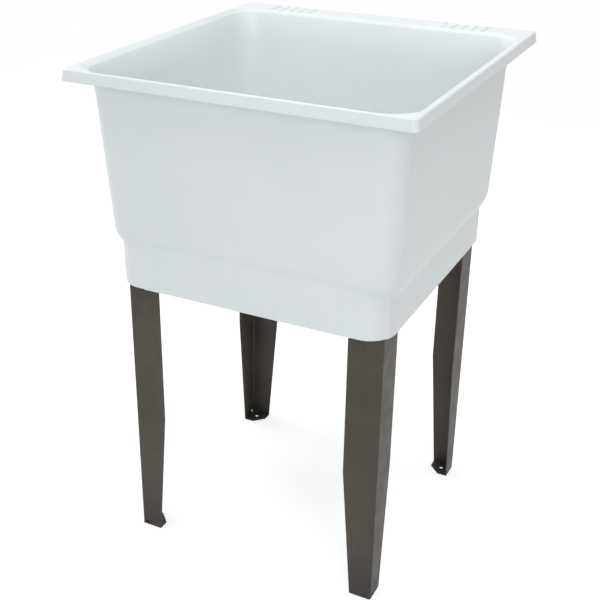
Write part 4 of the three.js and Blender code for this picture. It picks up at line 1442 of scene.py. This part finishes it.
def make_drain(steel, zinc, rubber, washer):
    """The drain's pieces from the flange down, and the stopper in it."""
    gasket = ring_mesh(GASKET_RADIUS, THREAD_CLEAR, GASKET_TOP - GASKET_THICKNESS, GASKET_TOP, 0.6)
    slip_ring_under = SLIP_RING_TOP - SLIP_RING_THICKNESS
    slip_ring = ring_mesh(SLIP_RING_RADIUS, THREAD_CLEAR, slip_ring_under, SLIP_RING_TOP, 0.2)
    seal_under = TAIL_SEAL_TOP - TAIL_SEAL_THICKNESS
    seal = ring_mesh(TAIL_FLANGE_RADIUS, TAIL_CLEAR, seal_under, TAIL_SEAL_TOP, 0.4)
    add_drain_piece("drain_sleeve", drain_body_mesh(), steel, "drain_body")
    add_drain_piece("rubber_gasket", gasket, rubber, "drain_gasket")
    add_drain_piece("slip_ring", slip_ring, washer, "friction_washer")
    add_drain_piece("lugged_locknut", locknut_mesh(), zinc, "drain_locknut")
    add_drain_piece("tail_seal", seal, washer, "tailpiece_washer")
    add_drain_piece("tail_tube", tailpiece_mesh(), steel, "tailpiece")
    add_drain_piece("hex_coupling", coupling_nut_mesh(), zinc, "coupling_nut")
    add_drain_piece("rubber_plug", stopper_mesh(), rubber, "stopper", "stopper")


# ------------------------------------------------------------------ stage, light and camera

WHITE = (1.0, 1.0, 1.0)
COOL_LIGHT = (0.965, 0.99, 1.0)
LIGHT_WAY = (-0.78, -0.6, 0.15)
WORLD_STRENGTH = (0.25, 0.545)
FLOOR_REACH = 2.7
FLOOR_GLOW = 0.55

Lamp = namedtuple("Lamp", "name place target size power")
LAMPS = [
    Lamp("overhead", (0.0, -0.2, 3.2), (0.0, 0.0, 0.8), 2.8, 41.0),
    Lamp("front", (2.0, -2.9, 1.9), (0.0, 0.0, 0.6), 2.0, 37.0),
    Lamp("left", (-3.2, 0.2, 1.8), (0.0, 0.0, 0.7), 2.0, 24.0),
]

CAMERA_PLACE = (0.7156, -1.5563, 1.2647)
CAMERA_AZIMUTH = math.radians(26.87)
CAMERA_TILT = math.radians(25.81)
CAMERA_ROLL = math.radians(0.25)
CAMERA_SENSOR = 36.0
CAMERA_LENS = 63.62
CAMERA_REACH = 60.0
CAMERA_SHIFT = (0.0428, -0.016)


def white_where_seen(tree):
    """1 for what the camera sees, directly, mirrored or through glass, and 0 for what only lights."""
    path = add_node(tree, "ShaderNodeLightPath").outputs
    seen = math_node(tree, "MAXIMUM", path["Is Camera Ray"], path["Is Glossy Ray"])
    return math_node(tree, "MAXIMUM", seen, path["Is Transmission Ray"])


def make_stage():
    """A pale floor that shows as white and keeps the sink's shadow."""
    colours = {"Base_Color": (0.78, 0.79, 0.79), "Emission_Color": WHITE}
    material, tree, shader = new_material("pale_floor", Roughness=0.85, **colours)
    glow = math_node(tree, "MULTIPLY", white_where_seen(tree), FLOOR_GLOW)
    feed(tree, shader.inputs["Emission Strength"], glow)
    corners = [(x * FLOOR_REACH, y * FLOOR_REACH, 0.0) for x, y in ((-1, -1), (1, -1), (1, 1), (-1, 1))]
    mesh = mesh_from(corners, [(0, 1, 2, 3)], "floor")
    mesh.materials.append(material)
    floor = bpy.data.objects.new("floor", mesh)
    bpy.context.scene.collection.objects.link(floor)


def make_world():
    """Soft light, fuller from the front left, and white where the camera sees it."""
    world = bpy.data.worlds.new("studio")
    bpy.context.scene.world = world
    world.use_nodes = True
    tree = world.node_tree
    background = tree.nodes["Background"]
    way = add_node(tree, "ShaderNodeTexCoord").outputs["Generated"]
    facing = add_node(tree, "ShaderNodeVectorMath", {1: LIGHT_WAY}, operation="DOT_PRODUCT")
    feed(tree, facing.inputs[0], way)
    light = ranged(tree, facing.outputs["Value"], (-1.0, 1.0), WORLD_STRENGTH)
    seen = white_where_seen(tree)
    strength = add_node(tree, "ShaderNodeMix", {"B": 1.0})
    feed(tree, strength.inputs["Factor"], seen)
    feed(tree, strength.inputs["A"], light)
    feed(tree, background.inputs["Color"], mixed(tree, seen, COOL_LIGHT, WHITE))
    feed(tree, background.inputs["Strength"], strength.outputs["Result"])


def make_lamps():
    """Soft square lamps, each turned to the point it lights."""
    for lamp in LAMPS:
        data = bpy.data.lights.new(lamp.name, "AREA")
        data.shape = "SQUARE"
        data.size = lamp.size
        data.energy = lamp.power
        hung = bpy.data.objects.new(lamp.name, data)
        hung.location = lamp.place
        way = Vector(lamp.target) - Vector(lamp.place)
        hung.rotation_euler = way.to_track_quat("-Z", "Y").to_euler()
        bpy.context.scene.collection.objects.link(hung)


def make_camera():
    """The camera at the photograph's angle."""
    flat = math.cos(CAMERA_TILT)
    back = Vector(
        (math.sin(CAMERA_AZIMUTH) * flat, -math.cos(CAMERA_AZIMUTH) * flat, math.sin(CAMERA_TILT))
    )
    right = (-back).cross(Vector((0.0, 0.0, 1.0))).normalized()
    up = right.cross(-back)
    rolled_right = right * math.cos(CAMERA_ROLL) + up * math.sin(CAMERA_ROLL)
    rolled_up = up * math.cos(CAMERA_ROLL) - right * math.sin(CAMERA_ROLL)
    turn = Matrix((rolled_right, rolled_up, back)).transposed().to_4x4()
    data = bpy.data.cameras.new("camera")
    data.sensor_width = CAMERA_SENSOR
    data.lens = CAMERA_LENS
    data.shift_x, data.shift_y = CAMERA_SHIFT
    data.clip_end = CAMERA_REACH
    camera = bpy.data.objects.new("camera", data)
    camera.matrix_world = Matrix.Translation(Vector(CAMERA_PLACE)) @ turn
    bpy.context.scene.collection.objects.link(camera)
    bpy.context.scene.camera = camera


make_camera()
make_stage()
make_world()
make_lamps()
bpy.context.scene.view_settings.view_transform = "Standard"

make_tub(moulded_plastic())
make_legs(bronze_paint())
zinc = zinc_plate()
make_leg_screws(zinc)
make_drain(polished_steel(), zinc, black_rubber(), white_washer())
